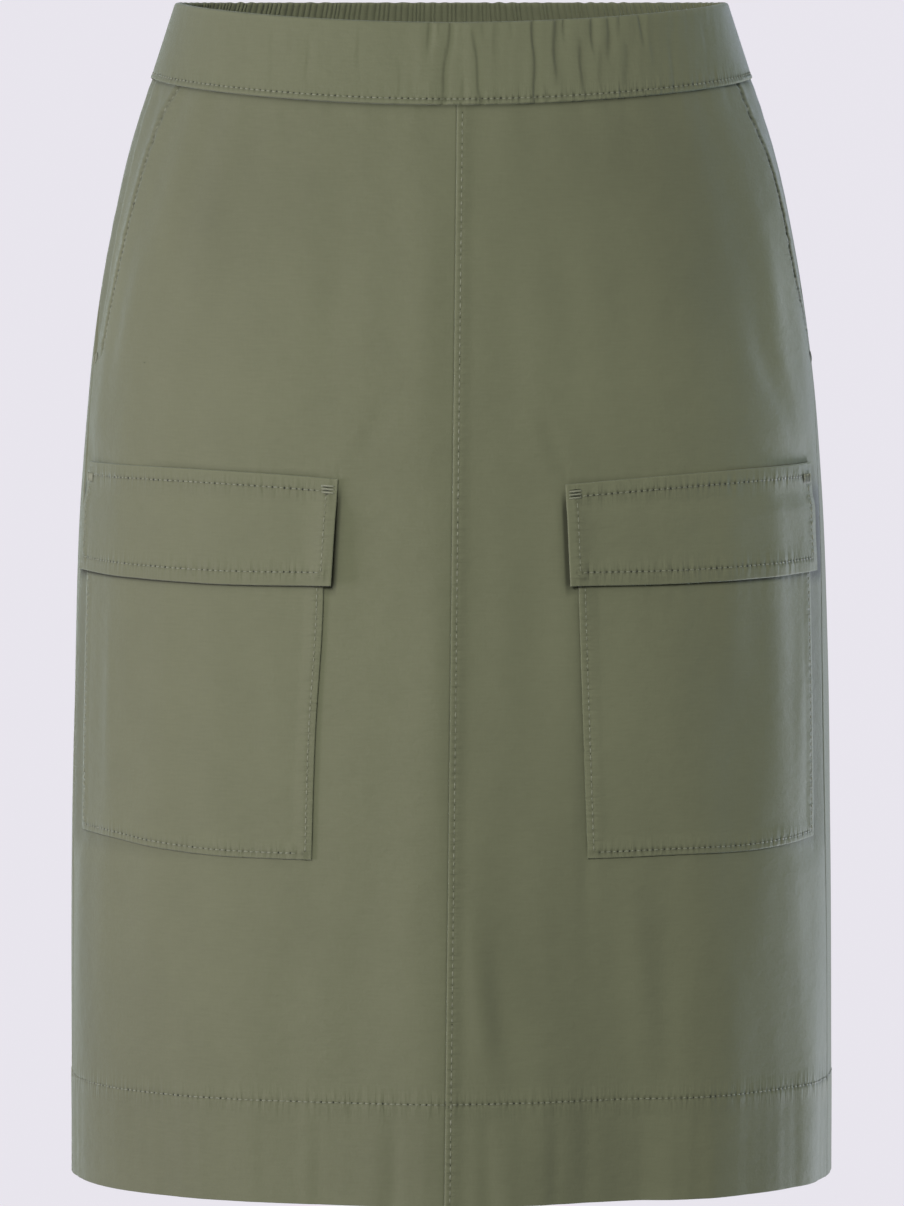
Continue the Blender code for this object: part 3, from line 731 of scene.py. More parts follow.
def gather_places(count, seed):
    """Uneven crests: shares of the way along, with two heights for each."""
    dice = np.random.default_rng(seed)
    widths = dice.uniform(0.60, 1.40, count)
    ends = np.concatenate([[0], np.cumsum(widths)]) / widths.sum()
    return ends, dice.uniform(0.65, 1.0, count), dice.uniform(0.45, 1.0, count)


def crest_at(share, ends):
    return np.clip(np.searchsorted(ends, share, side="right") - 1, 0, len(ends) - 2)


def gather_wave(share, ends, heights, power=2.2):
    """Round crests with narrow valleys between them: 0 in a valley to its height on a crest."""
    crest = crest_at(share, ends)
    t = np.clip((share - ends[crest]) / (ends[crest + 1] - ends[crest]), 0, 1)
    return heights[crest] * (1 - np.abs(2 * t - 1) ** power)


# --- the look of each piece

LIGHT_EDGE_WIDTH = 0.0007
CENTRE_FOLD = 0.00036
HEM_STEP = 0.00016
BAND_DENT = 0.0006
FLAP_RISE = 0.0003
POCKET_RIM = 0.00022
FLAP_RIM = 0.00020
FLAP_REACH = 0.030
CALM_REACH = 0.050
PANEL_DENT_REACH = 0.0045

# What is stronger on one side than on the other.
# HIP_SHADE is painted shade along the hip pocket's stitch row.
HIP_SHADE = {LEFT: 1.2, RIGHT: 3.0}
FLAP_HOLLOW = {LEFT: 0.0006, RIGHT: 0.0010}
FLAP_STAND = {LEFT: 0.0013, RIGHT: 0.0006}
FLAP_RIPPLE = {LEFT: 0.00010, RIGHT: 0.00020}
FLAP_PUCKER = {LEFT: 1.0, RIGHT: 1.4}
POCKET_PUCKER = {LEFT: 0.00012, RIGHT: 0.00018}


def band_creasing(arc, down):
    """How far the front band's folds stand out, and how deep its creases are, which sets their painted
    shade.
    """
    bulge = np.zeros(np.shape(arc))
    painted_crease_shade = np.zeros(np.shape(arc))
    for fold in BAND_FOLDS:
        middle = fold.arc + fold.lean * down
        fade = ease((fold.reach + 0.25 - down) / 0.5)
        # The crest lies beside the line of the fold, and is wider than it.
        crest = bell(arc - middle + 1.6 * fold.width, 1.8 * fold.width)
        bulge += 0.45 * fold.height * fade * crest
    for crease in BAND_CREASES:
        wander = 0.0005 * np.sin(9 * down + 400 * crease.arc)
        beyond = arc - crease.arc - crease.lean * down - wander
        width = np.where(beyond < 0, 0.35 * crease.width, 1.7 * crease.width)
        fade = ease((down - crease.start) / 0.2) * ease((crease.reach - down) / 0.3)
        bulge -= crease.height * fade * bell(beyond, width)
        painted_crease_shade += crease.height * fade * bell(beyond, 0.6 * crease.width)
    return bulge, painted_crease_shade


def band_front_look(arc, below):
    """The front waistband: smooth at one side, softly folded from the middle to the other."""
    top, foot = band_top(arc), band_foot(arc)
    down = (below - top) / (foot - top)
    bulge, painted_crease_shade = band_creasing(arc, down)
    gathered = ease((arc + 0.03) / 0.06) * ease((0.17 - arc) / 0.03)
    fine = ripples(arc + 0.002 * down, 3, 0.0050, 0.0130, 6) * 0.00010 * (0.25 + gathered)
    fine = fine * (0.6 + 0.8 * np.abs(down - 0.5))
    look = Look(BAND_PROUD + bulge + fine, on_right=ease((arc + 0.05) / 0.08))
    # Painted shade in the band's creases.
    look.shade += CREASE_SHADE * painted_crease_shade
    stitch = foot - BAND_STITCH - below
    look.sew(stitch, arc, seed=4, pucker=0.00010, reach=0.0045)
    look.lift += 0.0003 * ease((0.0024 - np.abs(stitch + 0.0024)) / 0.0012)
    look.level *= 0.35 + gathered
    look.border(below - top, 0.0010)
    look.border(foot - below, 0.0009)
    return look


def band_back_bulge(arc, below):
    ends, heights, _ = gather_places(BACK_GATHERS, GATHER_SEED)
    share = back_share(arc, below)
    lean = 0.0022 * np.sin(share * 37) * below / BAND_DEPTH
    middle = 0.82 + 0.18 * np.cos(2 * pi * below / BAND_DEPTH)
    return GATHER_HEIGHT * gather_wave(share + lean, ends, heights) * middle


def band_back_look(arc, below):
    look = Look(0.0002 + band_back_bulge(arc, below))
    look.sew(BAND_DEPTH - BAND_STITCH - below, arc, seed=5, pucker=0.0)
    look.border(below, 0.0010)
    return look


def add_centre_seam(look, side, seam, below):
    """The middle front seam: the right panel's fold is sewn down over the left panel."""
    if side == RIGHT:
        look.lift += CENTRE_FOLD * (ease((0.0095 - seam) / 0.0050) - roll_off(seam, 0.0008))
        row = {"upright": True, "pitch": CENTRE_PITCH, "pucker": 0.00010, "reach": 0.0030}
        look.sew(seam - CENTRE_STITCH, below, seed=6, **row)
        look.border(seam, LIGHT_EDGE_WIDTH)
    else:
        look.lift -= 0.0007 * ease((0.0006 - seam) / 0.0012)
        # Painted shade in the seam's groove under the right panel's fold.
        look.shade += 0.3 * bell(seam, 0.0006)
        look.lift += 0.00007 * ripples(below, 7) * bell(seam, 0.006)


def add_hem(look, arc, below, seed, pucker, ripple):
    """The sewn hem: thicker from its stitches down, with slow ripples."""
    hem = below - HEM_TOP
    look.sew(hem, arc, seed, pucker=pucker, reach=0.0060)
    look.lift += HEM_STEP * ease(hem / 0.003 + 0.5)
    look.lift += ripple * ripples(arc, seed + 1, 0.009, 0.021) * ease((hem + 0.006) / 0.012)


def add_band_shadow(look, arc, below):
    """The cloth dips and darkens where it comes out from under the waistband."""
    under_band = below - band_foot(arc)
    look.lift -= BAND_DENT * fall(under_band, 0.0040)
    look.shade += 2.2 * fall(under_band - 0.0004, 0.0016) + 0.3 * fall(under_band, 0.006)
    look.lift += 0.00010 * ripples(arc, 10, 0.006, 0.015) * fall(under_band, 0.022)


def add_hip_opening(look, side, outward, below):
    """The slanted opening's rounded edge and its row of stitches, with painted shade along the row."""
    edge = front_edge(side, below) - outward
    open_here = ease((HIP_POCKET_FOOT - below) / 0.006)
    look.lift -= 0.0004 * roll_off(edge, 0.0014) * (1 - open_here)
    look.border(edge)
    stitch = outward - hip_stitch(side, below)
    look.sew(stitch, below, seed=12 + side, upright=True, where=open_here, pucker=0.00024, reach=0.0050)
    wobble = 1.0 + 0.6 * ripples(below, 13, 0.004, 0.012)
    look.lift -= 0.0006 * open_here * wobble * bell(stitch + 0.0004, 0.0012)
    # Painted shade along the stitch row, stronger on the right.
    look.shade += HIP_SHADE[side] * open_here * wobble * bell(stitch, 0.0009)
    look.lift += 0.0004 * ease(stitch / 0.003) * ease(edge / 0.003) * open_here
    look.lift += 0.00016 * open_here * ripples(below, 14 + side, 0.008, 0.020) * ease(stitch / 0.004)


def add_patch_hollows(look, side, outward, below):
    """The panel dips beside the inner edges of the flap and the pocket, and gets painted shadow there."""
    lines = (FLAP_TOP, FLAP_FOOT, POCKET_FOOT)
    flap_top, flap_foot, pocket_foot = (patch_line(side, line, 0.0) for line in lines)
    beyond_flap = patch_arc(side, FLAP_EDGES, below, 0.0) - outward
    beside_flap = ease((below - flap_top) / 0.012) * ease((flap_foot + 0.006 - below) / 0.008)
    look.lift -= FLAP_HOLLOW[side] * beside_flap * bell(beyond_flap + 0.0012, 0.0030)
    # Painted shadow beside the flap's inner edge.
    look.shade += 3.0 * beside_flap * fall(beyond_flap - 0.0010, 0.0016)
    look.shade += 0.9 * beside_flap * fall(beyond_flap, 0.0060)
    beyond_pocket = patch_arc(side, POCKET_EDGES, below, 0.0) - outward
    beside_pocket = ease((below - flap_foot) / 0.01) * ease((pocket_foot + 0.004 - below) / 0.008)
    look.lift -= 0.0005 * beside_pocket * bell(beyond_pocket + 0.0010, 0.0024)
    # Painted shadow beside the pocket's inner edge.
    look.shade += 0.8 * beside_pocket * fall(beyond_pocket, 0.0011)


def add_flap_line(look, side, arc, below):
    """Above the flap the panel ripples, with a painted shadow line along it and a dent at its inner corner.
    """
    inner, outer = (patch_arc(side, FLAP_EDGES, below, share) for share in (0.0, 1.0))
    from_inner = side * arc - inner
    across = from_inner / (outer - inner)
    over_flap = patch_line(side, FLAP_TOP, across) - below
    in_flap = ease((across + 0.01) / 0.03) * ease((1.01 - across) / 0.03)
    look.lift += 0.00009 * in_flap * ripples(arc, 16 + side) * bell(over_flap, 0.009)
    # Painted shadow along the flap's top edge.
    look.shade += 1.2 * in_flap * fall(over_flap, 0.0011) * ease((over_flap + 0.003) / 0.001)
    spike = bell(from_inner + 0.0008 - 0.25 * over_flap, 0.0012) * ease(over_flap / 0.002)
    look.lift -= 0.0006 * spike * fall(over_flap, 0.008)


def front_look(side, arc, below):
    """A front panel: its seams, the sewn hem and the hollows beside the pockets."""
    outward = side * arc
    look = Look(body_lift(arc, below), on_right=float(side == RIGHT))
    add_centre_seam(look, side, outward - side * centre_seam(below), below)
    add_hem(look, arc, below, 8, 0.00010 + 0.00012 * ease(arc / 0.04), 0.00011)
    add_band_shadow(look, arc, below)
    add_hip_opening(look, side, outward, below)
    add_patch_hollows(look, side, outward, below)
    add_flap_line(look, side, arc, below)
    # Broad patches of painted light and shade.
    look.shade += painted_light_and_shade(arc, below)
    return look


def back_look(arc, below):
    """The back panel: gathers under the waistband, long folds and the sewn hem."""
    share = back_share(arc, below)
    look = Look(body_lift(arc, below))
    ends, heights, lengths = gather_places(PANEL_GATHERS, GATHER_SEED + 1)
    rows = np.clip((below - PANEL_TOP) / 0.080, 0, 1)
    fade = np.clip(1 - rows / lengths[crest_at(share, ends)], 0, 1) ** 1.5
    look.lift += PANEL_GATHER_HEIGHT * gather_wave(share, ends, heights, 1.8) * fade
    look.lift -= PANEL_GATHER_SINK * (1 - ease(rows * 2))
    ends, heights, lengths = gather_places(BACK_GATHERS, GATHER_SEED)
    fade = np.clip(1 - (below - PANEL_TOP) / (0.034 * lengths[crest_at(share, ends)]), 0, 1) ** 1.4
    look.lift += FINE_GATHER_HEIGHT * (gather_wave(share, ends, heights) - 0.6) * fade
    add_hem(look, arc, below, 18, 0.00016, 0.00013)
    start, end = back_reach(below)
    for edge in (arc - start, end - arc):
        look.lift -= 0.0010 * ease((0.0014 - edge) / 0.0020)
        # Painted shade in the side seams' grooves.
        look.shade += 0.7 * bell(edge, 0.0008)
    look.lift -= 0.0004 * fall(below - BAND_DEPTH, PANEL_DENT_REACH)
    return look


def facing_look(side, arc, below):
    """The cloth inside a hip pocket: it lies back from the opening's edge."""
    beyond = side * arc - opening_edge(side, below) - FACING_FLAT
    look = Look(body_lift(arc, below) - FACING_SINK * (1 - ease(beyond / FACING_RISE)))
    look.lift -= 0.0005 * fall(below - band_foot(arc), PANEL_DENT_REACH)
    look.lift += 0.00010 * ripples(below, 21 + side, 0.009, 0.020)
    # Painted shadow under the opening's edge.
    look.shade += 0.7 * bell(beyond + FACING_FLAT, 0.0014)
    return look


def patch_distances(side, arc, below, edges, top_line, foot_line):
    """How far inside its inner, outer, upper and lower edges a place on a patch lies."""
    outward = side * arc
    inner, outer = (patch_arc(side, edges, below, share) for share in (0.0, 1.0))
    across = (outward - inner) / (outer - inner)
    from_top = below - patch_line(side, top_line, across)
    from_foot = patch_line(side, foot_line, across) - below
    return outward - inner, outer - outward, from_top, from_foot


def calmer_outside(from_outer, least):
    """Sewing puckers a patch less towards its outer edge: `least` there, and fully from CALM_REACH in."""
    return least + (1 - least) * ease(from_outer / CALM_REACH)


def pocket_look(side, arc, below):
    """A patch pocket: its turned-in edges stand a little higher than its middle."""
    distances = patch_distances(side, arc, below, POCKET_EDGES, FLAP_FOOT, POCKET_FOOT)
    from_inner, from_outer, under_flap, from_foot = distances
    from_side = np.minimum(from_inner, from_outer)
    nearest = np.minimum(from_side, from_foot)
    look = Look(body_lift(arc, below) + LAY + POCKET_CLOTH, on_right=float(side == RIGHT))
    look.lift += POCKET_RIM * ease((0.0100 - nearest) / 0.0030)
    upright = {"upright": True, "where": ease((from_foot - 0.001) / 0.003), "pitch": SIDE_PITCH}
    look.sew(from_inner - POCKET_STITCH, below, seed=30 + side, reach=0.0034, **upright)
    look.sew(from_outer - POCKET_STITCH, below, seed=33 + side, reach=0.0034, **upright)
    level = {"where": ease((from_side - 0.001) / 0.003), "pucker": POCKET_PUCKER[side]}
    look.sew(from_foot - POCKET_FOOT_STITCH, arc, seed=36 + side, reach=0.0042, **level)
    # Painted shadow under the flap's foot.
    look.shade += 3.4 * fall(under_flap - 0.0004, 0.0011) + 0.7 * fall(under_flap, 0.0045)
    look.lift += 0.00012 * ripples(arc, 27 + side, 0.006, 0.014) * fall(under_flap, 0.020)
    look.level *= calmer_outside(from_outer, 0.30)
    # Broad patches of painted light and shade.
    look.shade += painted_light_and_shade(arc, below)
    look.border(nearest, LIGHT_EDGE_WIDTH)
    return look


def flap_look(side, arc, below):
    """A pocket flap: flat where it is sewn on, then standing out over the pocket's top."""
    distances = patch_distances(side, arc, below, FLAP_EDGES, FLAP_TOP, FLAP_FOOT)
    from_inner, from_outer, from_top, from_foot = distances
    from_side, from_end = np.minimum(from_inner, from_outer), np.minimum(from_top, from_foot)
    nearest = np.minimum(from_side, from_end)
    look = Look(body_lift(arc, below) + LAY + FLAP_CLOTH, on_right=float(side == RIGHT))
    look.lift += (POCKET_CLOTH + FLAP_RISE) * ease((below - POCKET_TOP + 0.010) / 0.010)
    look.lift += 0.0006 * fall(from_foot, 0.022)
    look.lift += FLAP_STAND[side] * fall(from_inner, 0.016) * ease(from_top / FLAP_REACH)
    look.lift += FLAP_RISE * fall(from_outer, 0.012) * ease(from_top / FLAP_REACH)
    look.lift += FLAP_RIM * ease((0.0080 - nearest) / 0.0026)
    strip = fall(from_top, 0.0070) + 0.7 * fall(from_foot, 0.0080)
    strip = strip * calmer_outside(from_outer, 0.35)
    look.lift += FLAP_RIPPLE[side] * strip * ripples(arc, 52 + side, 0.0026, 0.0060)
    level = ease((from_side - 0.002) / 0.003)
    rows = (
        (from_top - FLAP_TOP_STITCH, 40, 0.00016, 0.0046),
        (from_foot - FLAP_FOOT_STITCH, 43, 0.00015, 0.0050),
    )
    for distance, seed, pucker, reach in rows:
        look.sew(distance, arc, seed + side, where=level, pucker=pucker * FLAP_PUCKER[side], reach=reach)
    upright = {"upright": True, "where": ease((from_end - 0.002) / 0.003), "pitch": SIDE_PITCH}
    look.sew(from_inner - FLAP_SIDE_STITCH, below, seed=46 + side, **upright)
    look.sew(from_outer - FLAP_SIDE_STITCH, below, seed=49 + side, **upright)
    look.level *= calmer_outside(from_outer, 0.30)
    # Broad patches of painted light and shade.
    look.shade += painted_light_and_shade(arc, below)
    look.border(nearest, LIGHT_EDGE_WIDTH)
    return look


# --- meshes of cloth


def graded(start, end, pitch, fine, spots=(), reach=0.004):
    """Places from start to end, `fine` apart near the spots and opening out to `pitch` away from them."""
    places = [start]
    while places[-1] < end:
        gap = min([abs(places[-1] - spot) for spot in spots], default=end - start)
        share = min(1.0, max(0.0, (gap - reach) / (4 * reach)))
        places.append(places[-1] + fine + (pitch - fine) * share)
    places = np.array(places)
    return start + (places - start) * (end - start) / (places[-1] - start)


def with_edges(places, radius):
    """The same places with four close ones at each end, for a rounded edge."""
    steps = radius * (1 - np.cos(np.arange(1, 5) * pi / 8))
    first = places[0]
    last = places[-1]
    middle = places[(places > first + 1.4 * radius) & (places < last - 1.4 * radius)]
    return np.concatenate([[first], first + steps, middle, last - steps[::-1], [last]])


def shares(length, radius, **grading):
    """Graded places across a piece, as shares of its length, with close ones for its rounded edges."""
    return with_edges(graded(0.0, length, **grading), radius) / length


def rounding(arc, below, radius):
    """0 at the sheet's edges and 1 a rounded edge's radius inside them."""
    sideways = np.minimum(np.abs(arc - arc[:, :1]), np.abs(arc[:, -1:] - arc))
    upright = np.minimum(np.abs(below - below[:1]), np.abs(below[-1:] - below))
    nearest = np.clip(np.minimum(sideways, upright) / radius, 0, 1)
    return np.sqrt(1 - (1 - nearest) ** 2)


def two_faces(outer, inner):
    """A grid of values on a sheet's outer face, then those inside the border of its inner face."""
    kind = outer.shape[2:]
    return np.concatenate([outer.reshape(-1, *kind), inner[1:-1, 1:-1].reshape(-1, *kind)])


def sheet_faces(rows, columns):
    """Quads of both faces, which share the points of the border."""
    outer = np.arange(rows * columns).reshape(rows, columns)
    inner = outer.copy()
    inner[1:-1, 1:-1] = rows * columns + np.arange((rows - 2) * (columns - 2)).reshape(rows - 2, -1)
    faces = []
    for index, turn in ((outer, 1), (inner, -1)):
        corners = [index[:-1, :-1], index[1:, :-1], index[1:, 1:], index[:-1, 1:]]
        faces.append(np.stack(corners[::turn], axis=-1).reshape(-1, 4))
    return np.concatenate(faces)


def placed(name, mesh):
    """A smooth object of the mesh, fixed to the root."""
    mesh.shade_smooth()
    obj = bpy.data.objects.new(name, mesh)
    bpy.context.scene.collection.objects.link(obj)
    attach(obj, "root")
    return obj


def cloth_sheet(name, arc, below, look, inner_lift, radius, material):
    """A closed sheet of cloth from a grid whose rows run down and whose columns run with the arc."""
    middle = (look.lift + inner_lift) / 2
    shoulder = rounding(arc, below, radius)
    outer = cloth_points(arc, below, middle + (look.lift - middle) * shoulder)
    inner = cloth_points(arc, below, middle + (inner_lift - middle) * shoulder)
    faces = sheet_faces(*arc.shape)
    mesh = bpy.data.meshes.new(name)
    mesh.from_pydata(two_faces(outer, inner).tolist(), [], faces.tolist())
    flat = np.stack([arc, -below], axis=-1)
    layer = mesh.uv_layers.new(name="cloth")
    layer.data.foreach_set("uv", two_faces(flat, flat)[faces.ravel()].ravel().astype(np.float32))
    for word in LOOK_WORDS:
        values = getattr(look, word)
        stored = mesh.attributes.new(word, "FLOAT", "POINT")
        stored.data.foreach_set("value", two_faces(values, values).astype(np.float32))
    mesh.materials.append(material)
    mesh.validate()
    return placed(name, mesh)


# --- materials

# The cloth's uneven lightness: its thick yarns each way, mottling and broad fading, as waves a metre.
TONES = table(
    "along across detail amount",
    (900.0, 160.0, 2.0, 0.03),
    (110.0, 900.0, 2.0, 0.06),
    (48.0, 34.0, 3.0, 0.05),
    (9.0, 7.0, 2.0, 0.04),
)
SHEEN_COLOUR = (0.80, 0.93, 1.0, 1.0)
# The darkest the painted shade may make the cloth, as a share of its colour.
DARKEST = 0.4
YARN_SHARE = 1.6


def set_inputs(tree, node, inputs):
    """Sets a node's inputs to values, or links them from sockets."""
    for name, value in inputs.items():
        if isinstance(value, bpy.types.NodeSocket):
            tree.links.new(value, node.inputs[name])
        else:
            node.inputs[name].default_value = value


def add_node(tree, kind, inputs=None, **settings):
    node = tree.nodes.new(kind)
    for name, value in settings.items():
        setattr(node, name, value)
    set_inputs(tree, node, inputs or {})
    return node


def maths(tree, operation, first, second=0.0, third=0.0):
    inputs = {0: first, 1: second, 2: third}
    return add_node(tree, "ShaderNodeMath", inputs, operation=operation).outputs[0]


def product(tree, first, *others):
    for other in others:
        first = maths(tree, "MULTIPLY", first, other)
    return first


def summed(tree, first, *others):
    for other in others:
        first = maths(tree, "ADD", first, other)
    return first


def swing(tree, factor, amount):
    """A multiplier from 1 - amount to 1 + amount."""
    return maths(tree, "MULTIPLY_ADD", factor, 2 * amount, 1 - amount)


def changed(tree, factor, amount):
    """A multiplier that goes from 1 to 1 + amount with the factor."""
    return maths(tree, "MULTIPLY_ADD", factor, amount, 1.0)


def vector_maths(tree, operation, inputs):
    return add_node(tree, "ShaderNodeVectorMath", inputs, operation=operation).outputs[0]


def stretched_noise(tree, uv, along, across, detail=2.0):
    """Noise on the cloth, with its own scale each way, from 0 to 1."""
    scaled = vector_maths(tree, "MULTIPLY", {0: uv, 1: (along, across, 1.0)})
    inputs = {"Vector": scaled, "Scale": 1.0, "Detail": detail, "Roughness": 0.55}
    return add_node(tree, "ShaderNodeTexNoise", inputs, noise_dimensions="3D").outputs["Fac"]


def object_noise(tree, scale):
    """Even noise in an object's own space."""
    place = add_node(tree, "ShaderNodeTexCoord").outputs["Object"]
    inputs = {"Vector": place, "Scale": scale, "Detail": 1.0}
    return add_node(tree, "ShaderNodeTexNoise", inputs).outputs["Fac"]


def scaled_colour(tree, colour, strength):
    return vector_maths(tree, "SCALE", {0: tuple(colour[:3]), "Scale": strength})


def new_material(name):
    """A material, with its node tree and its shader."""
    material = bpy.data.materials.new(name)
    material.use_nodes = True
    return material, material.node_tree, material.node_tree.nodes["Principled BSDF"]


def sheen_inputs(settings):
    return {"Sheen Weight": settings.sheen, "Sheen Roughness": 0.42, "Sheen Tint": SHEEN_COLOUR}


def cloth_tones(tree, uv):
    """How much each of the cloth's noises lightens or darkens it."""
    for tone in TONES:
        noise = stretched_noise(tree, uv, tone.along, tone.across, tone.detail)
        yield swing(tree, noise, tone.amount)


def stitch_holes(tree, uv, row, phase):
    """1 at a row's stitch holes, which are uneven, and 0 away from them: where the holes' dimples get
    painted shade.
    """
    turn = maths(tree, "COSINE", product(tree, phase, 2 * pi))
    peak = maths(tree, "POWER", maths(tree, "MULTIPLY_ADD", turn, 0.5, 0.5), 1.6)
    uneven = maths(tree, "MULTIPLY_ADD", stretched_noise(tree, uv, 220.0, 220.0), 2.8, -0.5)
    return product(tree, peak, row, maths(tree, "MAXIMUM", uneven, 0.1))


def cloth_strength(tree, uv, shade, holes, edge, settings):
    """How light the cloth is: uneven yarns, mottling, painted shade and light, and lightened edges."""
    return product(
        tree,
        *cloth_tones(tree, uv),
        maths(tree, "MAXIMUM", changed(tree, shade, -settings.painted_shade), DARKEST),
        changed(tree, holes, -settings.hole_shade),
        changed(tree, edge, settings.edge_lightening),
    )


def cloth_height(tree, uv, level, upright, holes, settings):
    """The cloth's fine relief: the weave, its grain, small crumples and the puckers at sewing."""
    parts = add_node(tree, "ShaderNodeSeparateXYZ", {0: uv})
    turns = 2 * pi / settings.weave_pitch
    rib = maths(tree, "SINE", product(tree, summed(tree, parts.outputs[0], parts.outputs[1]), turns))
    yarn = maths(tree, "SINE", product(tree, parts.outputs[0], turns * YARN_SHARE))
    weave = product(tree, summed(tree, rib, yarn), settings.weave_height)
    grain = product(tree, stretched_noise(tree, uv, 620.0, 620.0, 3.0), settings.grain_height)
    crumples = product(tree, stretched_noise(tree, uv, 80.0, 100.0, 3.0), settings.crumple_height)
    across_level = product(tree, stretched_noise(tree, uv, 330.0, 36.0), level)
    across_upright = product(tree, stretched_noise(tree, uv, 36.0, 330.0), upright)
    puckers = product(tree, summed(tree, across_level, across_upright), settings.pucker_height)
    puckers = maths(tree, "MULTIPLY_ADD", holes, -settings.dimple_depth, puckers)
    return summed(tree, summed(tree, weave, grain), summed(tree, crumples, puckers))


def cloth_material(name, colour, settings):
    """Cotton twill: uneven yarns, mottling, painted shade and light, lightened edges, and puckers where
    sewn.
    """
    material, tree, shader = new_material(name)
    uv = add_node(tree, "ShaderNodeUVMap", uv_map="cloth").outputs["UV"]
    shade, level, upright, edge, row, phase = (
        add_node(tree, "ShaderNodeAttribute", attribute_name=word).outputs["Fac"] for word in LOOK_WORDS
    )
    holes = stitch_holes(tree, uv, row, phase)
    strength = cloth_strength(tree, uv, shade, holes, edge, settings)
    height = cloth_height(tree, uv, level, upright, holes, settings)
    bump = add_node(tree, "ShaderNodeBump", {"Strength": 1.0, "Distance": 1.0, "Height": height})
    inputs = {
        "Base Color": scaled_colour(tree, colour, strength),
        "Normal": bump.outputs[0],
        "Roughness": 0.86,
        "Specular IOR Level": 0.28,
        **sheen_inputs(settings),
    }
    set_inputs(tree, shader, inputs)
    return material


def thread_material(name, colour, roughness, settings):
    material, tree, shader = new_material(name)
    tinted = scaled_colour(tree, colour, swing(tree, object_noise(tree, 1800.0), 0.18))
    set_inputs(tree, shader, {"Base Color": tinted, "Roughness": roughness, **sheen_inputs(settings)})
    return material


def shared_material(name, make, *details):
    """The material of that name, made the first time it is asked for."""
    return bpy.data.materials.get(name) or make(name, *details)


def cloth_for(slot, settings):
    colours = {
        "shell": settings.shell_colour,
        "waistband": settings.waistband_colour,
        "pocket": settings.pocket_colour,
        "flap": settings.flap_colour,
        "facing": settings.facing_colour,
    }
    return shared_material(slot + "_cloth", cloth_material, colours[slot], settings)


# --- sewing

THREAD_RISE = 0.00016
TACK_ROW = 0.0016

# The materials of a mesh of stitches, by their places in it: the thread, and dark marks of painted shade.
THREAD, SHADE_MARK = 0, 1


def unit(vectors):
    return vectors / np.linalg.norm(vectors, axis=-1, keepdims=True)


def stitch_shape():
    """Points and faces of one small rounded stitch, 1 long each way."""
    bpy.ops.mesh.primitive_uv_sphere_add(segments=6, ring_count=4, radius=0.5, location=(0, 0, 0))
    obj = bpy.context.object
    mesh = obj.data
    points = np.array([tuple(vertex.co) for vertex in mesh.vertices])
    faces = [tuple(face.vertices) for face in mesh.polygons]
    bpy.data.objects.remove(obj, do_unlink=True)
    bpy.data.meshes.remove(mesh)
    # The sphere's poles turn to the stitch's two ends.
    return points[:, [2, 0, 1]], faces


def sewing_path(look_of, arc, below, rise):
    """Points a little over a piece's face, with the way out of it."""
    arc, below = np.broadcast_arrays(np.asarray(arc, float), np.asarray(below, float))
    lift = look_of(arc, below).lift + rise
    points = cloth_points(arc, below, lift)
    return points, unit(cloth_points(arc, below, lift + 0.001) - points)


def spaced(points, out, pitch):
    """Even places along a path: middles, ways along it and ways out."""
    steps = np.linalg.norm(np.diff(points, axis=0), axis=1)
    travel = np.concatenate([[0], np.cumsum(steps)])
    count = max(1, int(travel[-1] / pitch))
    middles = (np.arange(count) + 0.5) * travel[-1] / count

    def at(stops, values):
        return np.stack([np.interp(stops, travel, values[:, k]) for k in range(3)], axis=-1)

    along = at(middles + pitch / 4, points) - at(middles - pitch / 4, points)
    return at(middles, points), unit(along), unit(at(middles, out))


